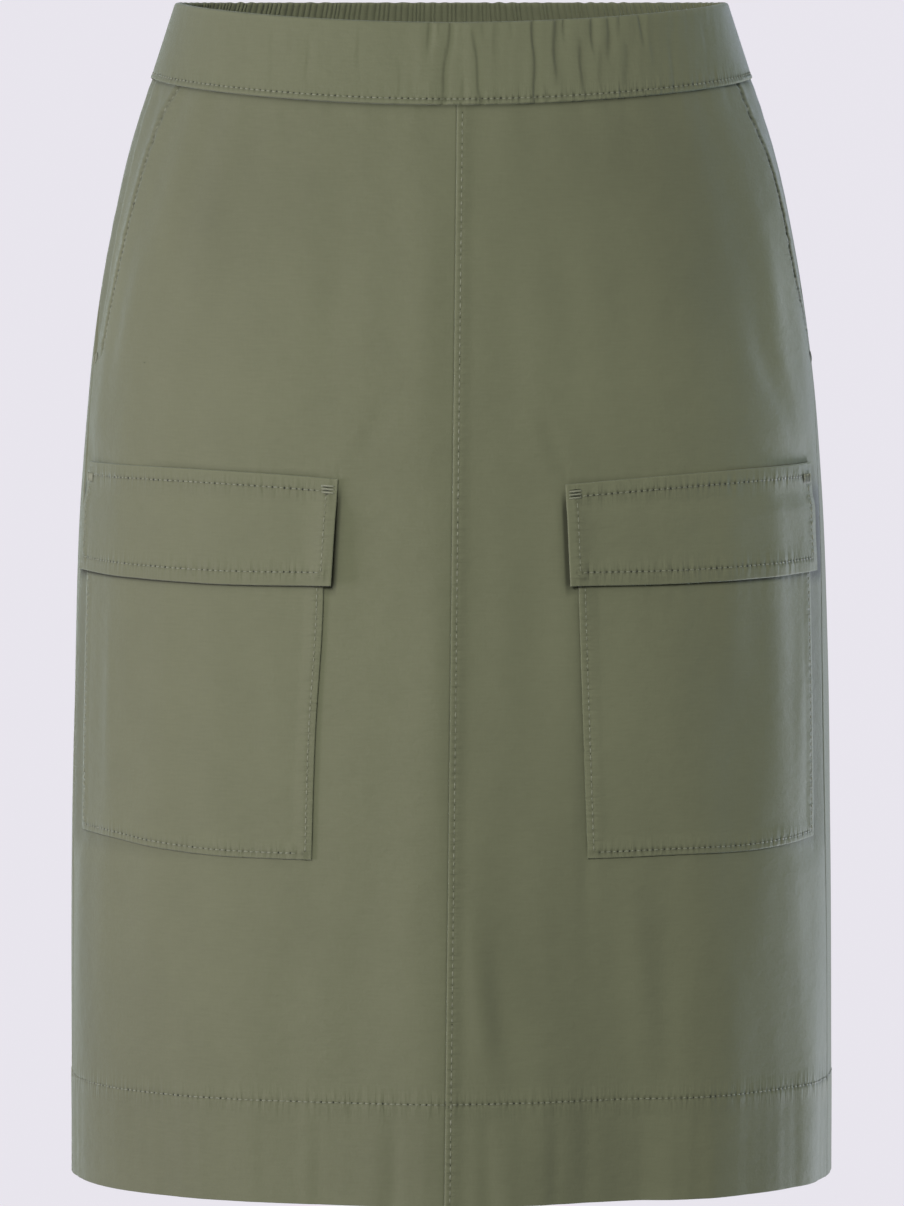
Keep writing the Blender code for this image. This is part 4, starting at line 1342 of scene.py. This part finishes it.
class Thread:
    """Collects stitches and dark marks of painted shade at the needle holes between them, then makes one
    mesh of them.
    """

    def __init__(self, settings):
        self.settings = settings
        self.shape = stitch_shape()
        self.points = []
        self.faces = []
        self.kinds = []
        self.count = 0

    def put(self, place, along, normal, size, kind):
        base, faces = self.shape
        local = base * np.broadcast_to(size, (len(place), 3))[:, None, :]
        made = place[:, None, :]
        for axis, way in enumerate((along, np.cross(normal, along), normal)):
            made = made + local[..., axis : axis + 1] * way[:, None, :]
        for k in range(len(place)):
            first = self.count + k * len(base)
            self.faces.extend(tuple(first + corner for corner in face) for face in faces)
        self.kinds.extend([kind] * (len(place) * len(faces)))
        self.points.append(made.reshape(-1, 3))
        self.count += len(place) * len(base)

    def row(self, look_of, arc, below, pitch=STITCH_PITCH):
        """A row of running stitches along a line on a piece, in step with its dimples."""
        arc, below = np.broadcast_arrays(arc, below)
        travel = below if np.ptp(below) > np.ptp(arc) else arc
        order = np.argsort(travel)
        turns = np.arange(np.ceil(travel.min() / pitch), np.floor(travel.max() / pitch))

        def at(stops, rise):
            lines = [np.interp(stops, travel[order], line[order]) for line in (arc, below)]
            return sewing_path(look_of, *lines, rise)

        def put(stops, rise, size, kind):
            place, out = at(stops, rise)
            tip, _ = at(stops + pitch / 5, rise)
            self.put(place, unit(tip - place), out, size, kind)

        dice = np.random.default_rng(len(turns))
        width = self.settings.stitch_width
        size = np.array([self.settings.stitch_share * pitch, width, 0.9 * width])
        put((turns + 0.5) * pitch, THREAD_RISE, size * dice.uniform(0.70, 1.15, (len(turns), 3)), THREAD)
        # Dark discs of painted shade in the needle holes between the stitches.
        hole = self.settings.hole_size * (1.0 if pitch == STITCH_PITCH else 0.5)
        size = np.array([hole, 1.6 * hole, 0.3 * hole])
        put(turns * pitch, 0.0, size * dice.uniform(0.4, 1.3, (len(turns), 1)), SHADE_MARK)

    def strokes(self, look_of, arc, below, pitch, size, gap, lengthwise=False):
        """Thick threads in a row, across a line or along it, each with a dark strip of painted shade beside
        it.
        """
        points, out = sewing_path(look_of, arc, below, THREAD_RISE)
        place, along, normal = spaced(points, out, pitch)
        way = along if lengthwise else np.cross(normal, along)
        length, width = size
        beside = np.cross(normal, way) * gap / 2
        self.put(place, way, normal, (length, width, 0.8 * width), THREAD)
        self.put(place + beside, way, normal, (0.9 * length, 0.8 * (gap - width), 0.0002), SHADE_MARK)

    def tack(self, look_of, arc, below):
        """A bar tack of short threads side by side across a line."""
        self.strokes(look_of, arc, below, 0.0020, (0.0050, 0.0013), 0.0020)

    def long_tack(self, look_of, arc, below):
        """A bar tack of three threads that lie along a line, one under another."""
        length = 0.93 * float(np.ptp(arc))
        for row in (-1, 0, 1):
            level = below + TACK_ROW * row
            self.strokes(look_of, arc, level, 2 * length, (length, 0.0011), TACK_ROW, lengthwise=True)

    def make(self, name):
        mesh = bpy.data.meshes.new(name)
        mesh.from_pydata(np.concatenate(self.points).tolist(), [], self.faces)
        settings = self.settings
        looks = (("thread", settings.thread_colour, 0.62), ("needle_hole", settings.hole_shade_colour, 0.95))
        for word, colour, roughness in looks:
            mesh.materials.append(shared_material(word, thread_material, colour, roughness, settings))
        mesh.polygons.foreach_set("material_index", np.array(self.kinds, dtype=np.int32))
        placed(name, mesh)


# --- settings

colour_setting = partial(bpy.props.FloatVectorProperty, subtype="COLOR", size=3)
length_setting = partial(bpy.props.FloatProperty, unit="LENGTH", precision=6)
share_setting = partial(bpy.props.FloatProperty, min=0.0, max=1.0)
power_setting = partial(bpy.props.FloatProperty, description="Power in watts", min=0.0)


class SkirtSettings(bpy.types.PropertyGroup):
    """Colours, fine sizes and the studio, in metres and watts"""

    shell_colour: colour_setting(
        name="Shell", description="Colour of the panels", default=(0.153, 0.161, 0.101)
    )
    waistband_colour: colour_setting(
        name="Waistband", description="Colour of the waistband", default=(0.151, 0.160, 0.100)
    )
    pocket_colour: colour_setting(
        name="Pockets", description="Colour of the pockets", default=(0.153, 0.161, 0.101)
    )
    flap_colour: colour_setting(
        name="Flaps", description="Colour of the flaps", default=(0.154, 0.162, 0.102)
    )
    facing_colour: colour_setting(
        name="Facings", description="Colour inside the hip pockets", default=(0.145, 0.153, 0.096)
    )
    thread_colour: colour_setting(
        name="Thread", description="Colour of the sewing thread", default=(0.225, 0.232, 0.168)
    )
    # Colour of the dark marks of painted shade in needle holes and between a tack's threads.
    hole_shade_colour: colour_setting(
        name="Needle holes", description="Colour of the holes", default=(0.030, 0.032, 0.020)
    )
    stitch_share: share_setting(
        name="Stitch share", description="Length of a stitch as a share of its pitch", default=0.72
    )
    stitch_width: length_setting(name="Stitch width", description="Width of the thread", default=0.00066)
    hole_size: length_setting(name="Hole size", description="Width of a needle hole", default=0.00080)
    weave_pitch: length_setting(
        name="Weave pitch", description="Between the twill's ribs", default=0.00062
    )
    weave_height: length_setting(
        name="Weave height", description="Height of the twill's ribs", default=0.000010
    )
    grain_height: length_setting(
        name="Grain height", description="Height of the uneven yarns", default=0.00009
    )
    crumple_height: length_setting(
        name="Crumple height", description="Height of small crumples", default=0.00060
    )
    pucker_height: length_setting(
        name="Pucker height", description="Height of puckers at sewing", default=0.00120
    )
    dimple_depth: length_setting(
        name="Dimple depth", description="Depth of the dimple at a stitch hole", default=0.00022
    )
    # Painted shade: how strongly the shade channel darkens the cloth in creases, seams, under edges and in
    # patches.
    painted_shade: share_setting(
        name="Seam shade", description="How much sewing darkens the cloth", default=0.16
    )
    # Painted shade in the dimples at stitch holes.
    hole_shade: share_setting(
        name="Hole shade", description="How much holes darken the cloth", default=0.42
    )
    edge_lightening: share_setting(name="Edge wear", description="How much edges are lightened", default=0.10)
    sheen: share_setting(name="Sheen", description="Cool sheen of the cloth's nap", default=0.30)
    camera_distance: length_setting(
        name="Camera distance", description="From waist to camera", default=4.24
    )
    camera_aim: length_setting(
        name="Camera aim", description="Depth below the waist that it looks at", default=0.30
    )
    camera_lens: bpy.props.FloatProperty(
        name="Lens", description="Focal length in millimetres", default=253.34, min=1.0
    )
    front_power: power_setting(name="Front light", default=91.5)
    key_power: power_setting(name="Key light", default=72.0)
    side_power: power_setting(name="Side lights", default=180.0)
    world_strength: share_setting(name="Surroundings", description="Even light", default=0.20)
    floor_depth: length_setting(
        name="Floor depth", description="Floor's depth below the waist", default=3.20
    )
    studio_radius: length_setting(
        name="Studio radius", description="Radius of the backdrop", default=10.0
    )


# --- pieces


def settings_of(context):
    return context.scene.cargo_skirt


def mirrored(side, places):
    """The places in reverse on the left, so that every grid's columns run the same way."""
    return places[::-1] if side == LEFT else places


def make_piece(name, slot, arc, below, look, inner_lift, radius, settings):
    """A sheet of cloth that takes the place of the solid of that name."""
    material = cloth_for(slot, settings)
    obj = cloth_sheet(name + "_cloth", arc, below, look, inner_lift, radius, material)
    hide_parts(name)
    return obj


def panel_inside(look, below):
    """The inner face of a panel, which the turned-up hem thickens."""
    return look.lift - (CLOTH + (HEM_CLOTH - CLOTH) * ease((below - HEM_TOP) / 0.0008 + 1))


def hung_grid(share, levels, foot, edges_at, rounds):
    """Arcs and depths of a grid that hangs from the waistband between two edges."""
    down = (levels - PANEL_TOP) / (foot - PANEL_TOP)
    below = levels + 0 * share
    for _ in range(rounds):
        start, end = edges_at(below)
        arc = start + (end - start) * share
        top = band_foot(arc[:1]) - UNDER_BAND
        below = top + (foot - top) * down
    return arc, below


def make_band_front(settings):
    reach = side_seam(RIGHT, BAND_DEPTH)
    base = graded(-reach, reach, pitch=0.0013, fine=0.0006, spots=(0.045,), reach=0.060)
    base = with_edges(base, 0.0005)
    stitches = (BAND_DEPTH - BAND_STITCH,)
    down = shares(BAND_DEPTH, BAND_ROUND, pitch=0.0028, fine=0.0006, spots=stitches, reach=0.002)[:, None]
    below = band_top(base) + (band_foot(base) - band_top(base)) * down
    arc = base * side_seam(RIGHT, below) / reach
    look = band_front_look(arc, below)
    inner = -BAND_INSIDE - 0.3 * (look.lift - BAND_PROUD)
    obj = make_piece("waistband_front", "waistband", arc, below, look, inner, BAND_ROUND, settings)


def make_band_back(settings):
    ends, _, _ = gather_places(BACK_GATHERS, GATHER_SEED)
    steps = np.arange(GATHER_STEPS) / GATHER_STEPS
    share = np.concatenate([start + (end - start) * steps for start, end in zip(ends, ends[1:])])
    share = with_edges(np.append(share, 1.0), 0.0014)
    stitches = (BAND_DEPTH - BAND_STITCH,)
    depths = graded(0.0, BAND_DEPTH, pitch=0.0034, fine=0.0008, spots=stitches, reach=0.002)
    down = with_edges(depths, BAND_ROUND)[:, None]
    top = 0.00025 * ripples(share * 0.37, 25, 0.006, 0.013)
    below = down + top * (1 - down / BAND_DEPTH)
    arc = back_arc(share, below)
    look = band_back_look(arc, below)
    valley = gather_wave(back_share(arc, below), ends, np.ones(BACK_GATHERS))
    # Painted shade in the gathers' valleys.
    look.shade = np.maximum(look.shade, 0.9 * (1 - valley) ** 3)
    inner = -BAND_INSIDE + 0.0004 - 1.15 * band_back_bulge(arc, below)
    obj = make_piece("waistband_back", "waistband", arc, below, look, inner, BAND_ROUND, settings)


def make_front_panel(side, settings):
    width = side_seam(side, HEM_TOP)
    beside_pocket = np.linspace(FLAP_EDGES[0].left_inner, POCKET_EDGES[-1].left_inner, 6)
    spots = (0.0, CENTRE_STITCH, width, width - HIP_INSET, *beside_pocket)
    share = shares(width, PANEL_ROUND, pitch=0.0017, fine=0.0006, spots=spots, reach=0.0020)
    seams = (PANEL_TOP, HEM_TOP, LENGTH)
    levels = graded(PANEL_TOP, LENGTH, pitch=0.0033, fine=0.0009, spots=seams, reach=0.003)
    levels = with_edges(levels, 0.0004)[:, None]
    tuck = TUCK if side == LEFT else 0.0

    def edges_at(below):
        return side * centre_seam(below) - tuck, front_edge(side, below)

    arc, below = hung_grid(mirrored(side, share), levels, LENGTH, edges_at, 8)
    look = front_look(side, side * arc, below)
    name = "front_panel_" + SIDE_WORDS[side]
    inner = panel_inside(look, below)
    obj = make_piece(name, "shell", side * arc, below, look, inner, PANEL_ROUND, settings)


def make_back_panel(settings):
    width = 0.52
    share = shares(width, PANEL_ROUND, pitch=0.00132, fine=0.0006, spots=(0.0, width), reach=0.002)
    top, foot = BAND_DEPTH - UNDER_BAND, 0.100
    upper = graded(top, foot, pitch=0.0035, fine=0.0012, spots=(BAND_DEPTH,), reach=0.003)
    lower = graded(foot, LENGTH, pitch=0.0090, fine=0.0010, spots=(HEM_TOP, LENGTH), reach=0.003)
    levels = with_edges(np.concatenate([upper, lower[1:]]), 0.0004)[:, None]
    below = levels + 0 * share
    start, end = back_reach(below)
    start, end = start - TUCK, end + TUCK
    arc = start + (end - start) * share
    look = back_look(arc, below)
    inner = panel_inside(look, below)
    obj = make_piece("back_panel", "shell", arc, below, look, inner, PANEL_ROUND, settings)


def make_hip_facing(side, settings):
    share = shares(0.045, PANEL_ROUND, pitch=0.0015, fine=0.0015)
    levels = graded(PANEL_TOP, FACING_FOOT, pitch=0.0030, fine=0.0030)
    levels = with_edges(levels, PANEL_ROUND)[:, None]

    def edges_at(below):
        return opening_edge(side, below) - FACING_UNDERLAP, side_seam(side, below)

    arc, below = hung_grid(mirrored(side, share), levels, FACING_FOOT, edges_at, 6)
    look = facing_look(side, side * arc, below)
    name = "hip_facing_" + SIDE_WORDS[side]
    obj = make_piece(name, "facing", side * arc, below, look, look.lift - CLOTH, PANEL_ROUND, settings)


def make_cargo_pocket(side, settings):
    width, depth = 0.156, 0.165
    rows = (POCKET_STITCH, width - POCKET_STITCH)
    across = shares(width, POCKET_ROUND, pitch=0.0015, fine=0.0007, spots=rows, reach=0.0022)
    across = mirrored(side, across)
    rows = (depth - POCKET_FOOT_STITCH,)
    down = shares(depth, POCKET_ROUND, pitch=0.0020, fine=0.0008, spots=rows, reach=0.0025)[:, None]
    below = POCKET_TOP + (patch_line(side, POCKET_FOOT, across) - POCKET_TOP) * down
    arc = side * patch_arc(side, POCKET_EDGES, below, across)
    look = pocket_look(side, arc, below)
    lowest = body_lift(arc, below) + LAY
    name = "cargo_pocket_" + SIDE_WORDS[side]
    obj = make_piece(name, "pocket", arc, below, look, lowest, POCKET_ROUND, settings)


def make_pocket_flap(side, settings):
    width, depth = 0.168, 0.052
    rows = (FLAP_SIDE_STITCH, width - FLAP_SIDE_STITCH)
    across = shares(width, FLAP_ROUND, pitch=0.0014, fine=0.0008, spots=rows, reach=0.0022)
    across = mirrored(side, across)
    rows = (FLAP_TOP_STITCH, depth - FLAP_FOOT_STITCH)
    down = shares(depth, FLAP_ROUND, pitch=0.0016, fine=0.0007, spots=rows, reach=0.0022)[:, None]
    top = patch_line(side, FLAP_TOP, across)
    below = top + (patch_line(side, FLAP_FOOT, across) - top) * down
    arc = side * patch_arc(side, FLAP_EDGES, below, across)
    look = flap_look(side, arc, below)
    name = "pocket_flap_" + SIDE_WORDS[side]
    obj = make_piece(name, "flap", arc, below, look, look.lift - FLAP_CLOTH, FLAP_ROUND, settings)


# --- rows of stitches and tacks


def sew_band(settings):
    thread = Thread(settings)
    reach = side_seam(RIGHT, BAND_DEPTH) - 0.001
    arc = np.linspace(-reach, reach, 900)
    thread.row(band_front_look, arc, band_foot(arc) - BAND_STITCH)
    below = np.full(1400, BAND_DEPTH - BAND_STITCH)
    thread.row(band_back_look, back_arc(np.linspace(0.003, 0.997, 1400), below), below)
    thread.make("waistband_stitches")


def sew_front_panel(thread, side):
    """The hem's row, the row beside the hip pocket's opening and the tack at its foot."""
    look_of = partial(front_look, side)
    start = side * centre_seam(HEM_TOP)
    end = side_seam(side, HEM_TOP) - 0.0008
    thread.row(look_of, side * np.linspace(start, end, 300), np.full(300, HEM_TOP))
    top = band_foot(side * 0.16)
    below = top + 0.001 + (HIP_POCKET_FOOT - 0.004 - top) * np.linspace(0.0, 1.0, 200)
    thread.row(look_of, side * hip_stitch(side, below), below)
    arc = side_seam(side, HIP_POCKET_FOOT) - np.linspace(0.0085, 0.0010, 20)
    thread.tack(look_of, side * arc, np.linspace(0.1745, 0.1775, 20))


def sew_panels(settings):
    thread = Thread(settings)
    below = np.linspace(band_foot(0.0) + 0.002, LENGTH - 0.0012, 700)
    thread.row(partial(front_look, RIGHT), centre_seam(below) + CENTRE_STITCH, below, CENTRE_PITCH)
    for side in SIDES:
        sew_front_panel(thread, side)
    level = np.full(900, HEM_TOP)
    thread.row(back_look, back_arc(np.linspace(0.002, 0.998, 900), level), level)
    thread.make("panel_stitches")


def sew_pocket(side, settings):
    thread = Thread(settings)
    look_of = partial(pocket_look, side)
    for share, inset in ((0.0, POCKET_STITCH), (1.0, -POCKET_STITCH)):
        below = np.linspace(0.262, patch_line(side, POCKET_FOOT, share) - POCKET_FOOT_STITCH, 200)
        arc = side * (patch_arc(side, POCKET_EDGES, below, share) + inset)
        thread.row(look_of, arc, below, SIDE_PITCH)
    across = np.linspace(0.030, 0.970, 200)
    foot = patch_line(side, POCKET_FOOT, across) - POCKET_FOOT_STITCH
    thread.row(look_of, side * patch_arc(side, POCKET_EDGES, foot, across), foot)
    thread.make("pocket_stitches_" + SIDE_WORDS[side])


def sew_flap(side, settings):
    thread = Thread(settings)
    look_of = partial(flap_look, side)

    def sew(put, across, below, *details):
        put(look_of, side * patch_arc(side, FLAP_EDGES, below, across), below, *details)

    def top(across):
        return patch_line(side, FLAP_TOP, across)

    def foot_row(across):
        return patch_line(side, FLAP_FOOT, across) - FLAP_FOOT_STITCH

    width = patch_arc(side, FLAP_EDGES, 0.25, 1.0) - patch_arc(side, FLAP_EDGES, 0.25, 0.0)
    inset = FLAP_SIDE_STITCH / width
    across = np.linspace(inset, 1 - inset, 240)
    sew(thread.row, across, top(across) + FLAP_TOP_STITCH)
    sew(thread.row, across, foot_row(across))
    for share in (inset, 1 - inset):
        below = np.linspace(top(share) + FLAP_TOP_STITCH + 0.0015, foot_row(share), 80)
        sew(thread.row, share, below, SIDE_PITCH)
    across = np.linspace(0.0008, 0.0084, 20) / width
    sew(thread.long_tack, across, top(across) + FLAP_TACK)
    across = np.linspace(width - 0.0120, width - 0.0020, 20) / width
    sew(thread.tack, across, top(across) + FLAP_OUTER_TACK)
    thread.make("flap_stitches_" + SIDE_WORDS[side])


# --- studio

# Each light's power is a share of one of the settings' powers.
LIGHTS = table(
    "name place size setting share colour",
    ("front_light", (-0.82, -3.28, 0.93), (1.0, 1.0), "front_power", 1.0, (1.0, 1.0, 0.927)),
    ("key_light", (-3.53, -0.62, -0.61), (0.8, 1.6), "key_power", 1.0, (0.93, 0.83, 1.0)),
    ("side_light", (3.21, 1.50, -0.93), (1.0, 1.2), "side_power", 0.34, (0.76, 0.92, 1.0)),
    ("rim_light", (2.11, 1.77, -2.61), (1.0, 1.0), "side_power", 1.0, (0.85, 0.82, 1.0)),
    ("left_light", (-2.94, 2.06, 0.01), (1.0, 1.0), "side_power", 0.06, (0.8, 1.0, 0.6)),
)
LIT_PLACE = (0.0, 0.0, -0.30)
PAPER = (0.800, 0.777, 0.840)
FLOOR_SLOPE = 0.02
CAMERA_SIDE = 0.00025


def make_light(row, settings):
    bpy.ops.object.light_add(type="AREA", location=row.place)
    obj = bpy.context.object
    obj.name = row.name
    obj.rotation_euler = (Vector(LIT_PLACE) - Vector(row.place)).to_track_quat("-Z", "Y").to_euler()
    obj.data.shape = "RECTANGLE"
    obj.data.size, obj.data.size_y = row.size
    obj.data.energy = getattr(settings, row.setting) * row.share
    obj.data.color = row.colour
    obj.visible_camera = False


def paper_material():
    """A backdrop that glows evenly, with the faintest unevenness."""
    material, tree, shader = new_material("backdrop_paper")
    inputs = {
        "Emission Color": scaled_colour(tree, PAPER, swing(tree, object_noise(tree, 0.15), 0.01)),
        "Emission Strength": 1.0,
        "Base Color": (0.03, 0.03, 0.03, 1.0),
        "Roughness": 1.0,
        "Specular IOR Level": 0.0,
    }
    set_inputs(tree, shader, inputs)
    return material


def make_backdrop(settings):
    radius, depth = settings.studio_radius, settings.floor_depth
    bpy.ops.mesh.primitive_uv_sphere_add(segments=128, ring_count=96, radius=radius, location=(0, 0, 0))
    obj = bpy.context.object
    obj.name = "backdrop"
    mesh = obj.data
    points = np.zeros(len(mesh.vertices) * 3)
    mesh.vertices.foreach_get("co", points)
    height = points[2::3]
    # The dome's lower part is pressed up into a floor that runs into the wall along a curve.
    points[2::3] = np.maximum(height, -depth) + FLOOR_SLOPE * np.minimum(height + depth, 0.0)
    mesh.vertices.foreach_set("co", points)
    mesh.flip_normals()
    mesh.shade_smooth()
    mesh.materials.append(paper_material())
    obj.visible_diffuse = False
    obj.visible_glossy = False
    obj.visible_shadow = False
    obj.visible_transmission = False


def make_world(settings):
    scene = bpy.context.scene
    scene.world = scene.world or bpy.data.worlds.new("studio")
    scene.world.use_nodes = True
    background = scene.world.node_tree.nodes["Background"]
    background.inputs["Color"].default_value = (1.0, 1.0, 1.0, 1.0)
    background.inputs["Strength"].default_value = settings.world_strength


def make_camera(settings):
    drop = atan2(settings.camera_aim, settings.camera_distance)
    place = (CAMERA_SIDE, -settings.camera_distance, 0.0)
    bpy.ops.object.camera_add(location=place, rotation=(pi / 2 - drop, 0.0, 0.0))
    camera = bpy.context.object
    camera.name = "camera"
    camera.data.sensor_width = 36.0
    camera.data.lens = settings.camera_lens
    camera.data.clip_start = 0.1
    camera.data.clip_end = 60.0
    camera.data.dof.use_dof = False
    bpy.context.scene.camera = camera


# --- operators


class SKIRT_OT_waistband(bpy.types.Operator):
    """Makes the front and back waistband"""

    bl_idname = "skirt.waistband"
    bl_label = "Waistband"

    def execute(self, context):
        make_band_front(settings_of(context))
        make_band_back(settings_of(context))
        return {"FINISHED"}


class SKIRT_OT_panels(bpy.types.Operator):
    """Makes the two front panels and the back panel"""

    bl_idname = "skirt.panels"
    bl_label = "Panels"

    def execute(self, context):
        for side in SIDES:
            make_front_panel(side, settings_of(context))
        make_back_panel(settings_of(context))
        return {"FINISHED"}


class SKIRT_OT_hip_facings(bpy.types.Operator):
    """Makes the cloth seen inside the slanted hip pockets"""

    bl_idname = "skirt.hip_facings"
    bl_label = "Hip pocket facings"

    def execute(self, context):
        for side in SIDES:
            make_hip_facing(side, settings_of(context))
        return {"FINISHED"}


class SKIRT_OT_cargo_pockets(bpy.types.Operator):
    """Makes the two cargo pockets"""

    bl_idname = "skirt.cargo_pockets"
    bl_label = "Cargo pockets"

    def execute(self, context):
        for side in SIDES:
            make_cargo_pocket(side, settings_of(context))
        return {"FINISHED"}


class SKIRT_OT_pocket_flaps(bpy.types.Operator):
    """Makes the flaps over the cargo pockets"""

    bl_idname = "skirt.pocket_flaps"
    bl_label = "Pocket flaps"

    def execute(self, context):
        for side in SIDES:
            make_pocket_flap(side, settings_of(context))
        return {"FINISHED"}


class SKIRT_OT_sewing(bpy.types.Operator):
    """Makes the stitches and bar tacks"""

    bl_idname = "skirt.sewing"
    bl_label = "Sewing"

    def execute(self, context):
        settings = settings_of(context)
        sew_band(settings)
        sew_panels(settings)
        for side in SIDES:
            sew_pocket(side, settings)
        for side in SIDES:
            sew_flap(side, settings)
        return {"FINISHED"}


class SKIRT_OT_studio(bpy.types.Operator):
    """Makes the plain studio: backdrop, lights and camera"""

    bl_idname = "skirt.studio"
    bl_label = "Studio"

    def execute(self, context):
        settings = settings_of(context)
        make_world(settings)
        make_backdrop(settings)
        for row in LIGHTS:
            make_light(row, settings)
        make_camera(settings)
        context.scene.view_settings.view_transform = "Standard"
        return {"FINISHED"}


class SKIRT_PT_panel(bpy.types.Panel):
    """The skirt's steps, in the sidebar"""

    bl_idname = "SKIRT_PT_panel"
    bl_label = "Cargo utility skirt"
    bl_space_type = "VIEW_3D"
    bl_region_type = "UI"
    bl_category = "Skirt"

    def draw(self, context):
        for step in STEPS:
            self.layout.operator(step.bl_idname)
        for name in SkirtSettings.__annotations__:
            self.layout.prop(settings_of(context), name)


STEPS = (
    SKIRT_OT_waistband,
    SKIRT_OT_panels,
    SKIRT_OT_hip_facings,
    SKIRT_OT_cargo_pockets,
    SKIRT_OT_pocket_flaps,
    SKIRT_OT_sewing,
    SKIRT_OT_studio,
)
CLASSES = (SkirtSettings,) + STEPS + (SKIRT_PT_panel,)


def register():
    for cls in CLASSES:
        bpy.utils.register_class(cls)
    bpy.types.Scene.cargo_skirt = bpy.props.PointerProperty(type=SkirtSettings)


def unregister():
    del bpy.types.Scene.cargo_skirt
    for cls in reversed(CLASSES):
        bpy.utils.unregister_class(cls)


def main():
    register()
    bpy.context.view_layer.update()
    for obj in list(bpy.context.selected_objects):
        obj.select_set(False)
    bpy.ops.skirt.waistband()
    bpy.ops.skirt.panels()
    bpy.ops.skirt.hip_facings()
    bpy.ops.skirt.cargo_pockets()
    bpy.ops.skirt.pocket_flaps()
    bpy.ops.skirt.sewing()
    bpy.ops.skirt.studio()


if __name__ == "__main__":
    main()
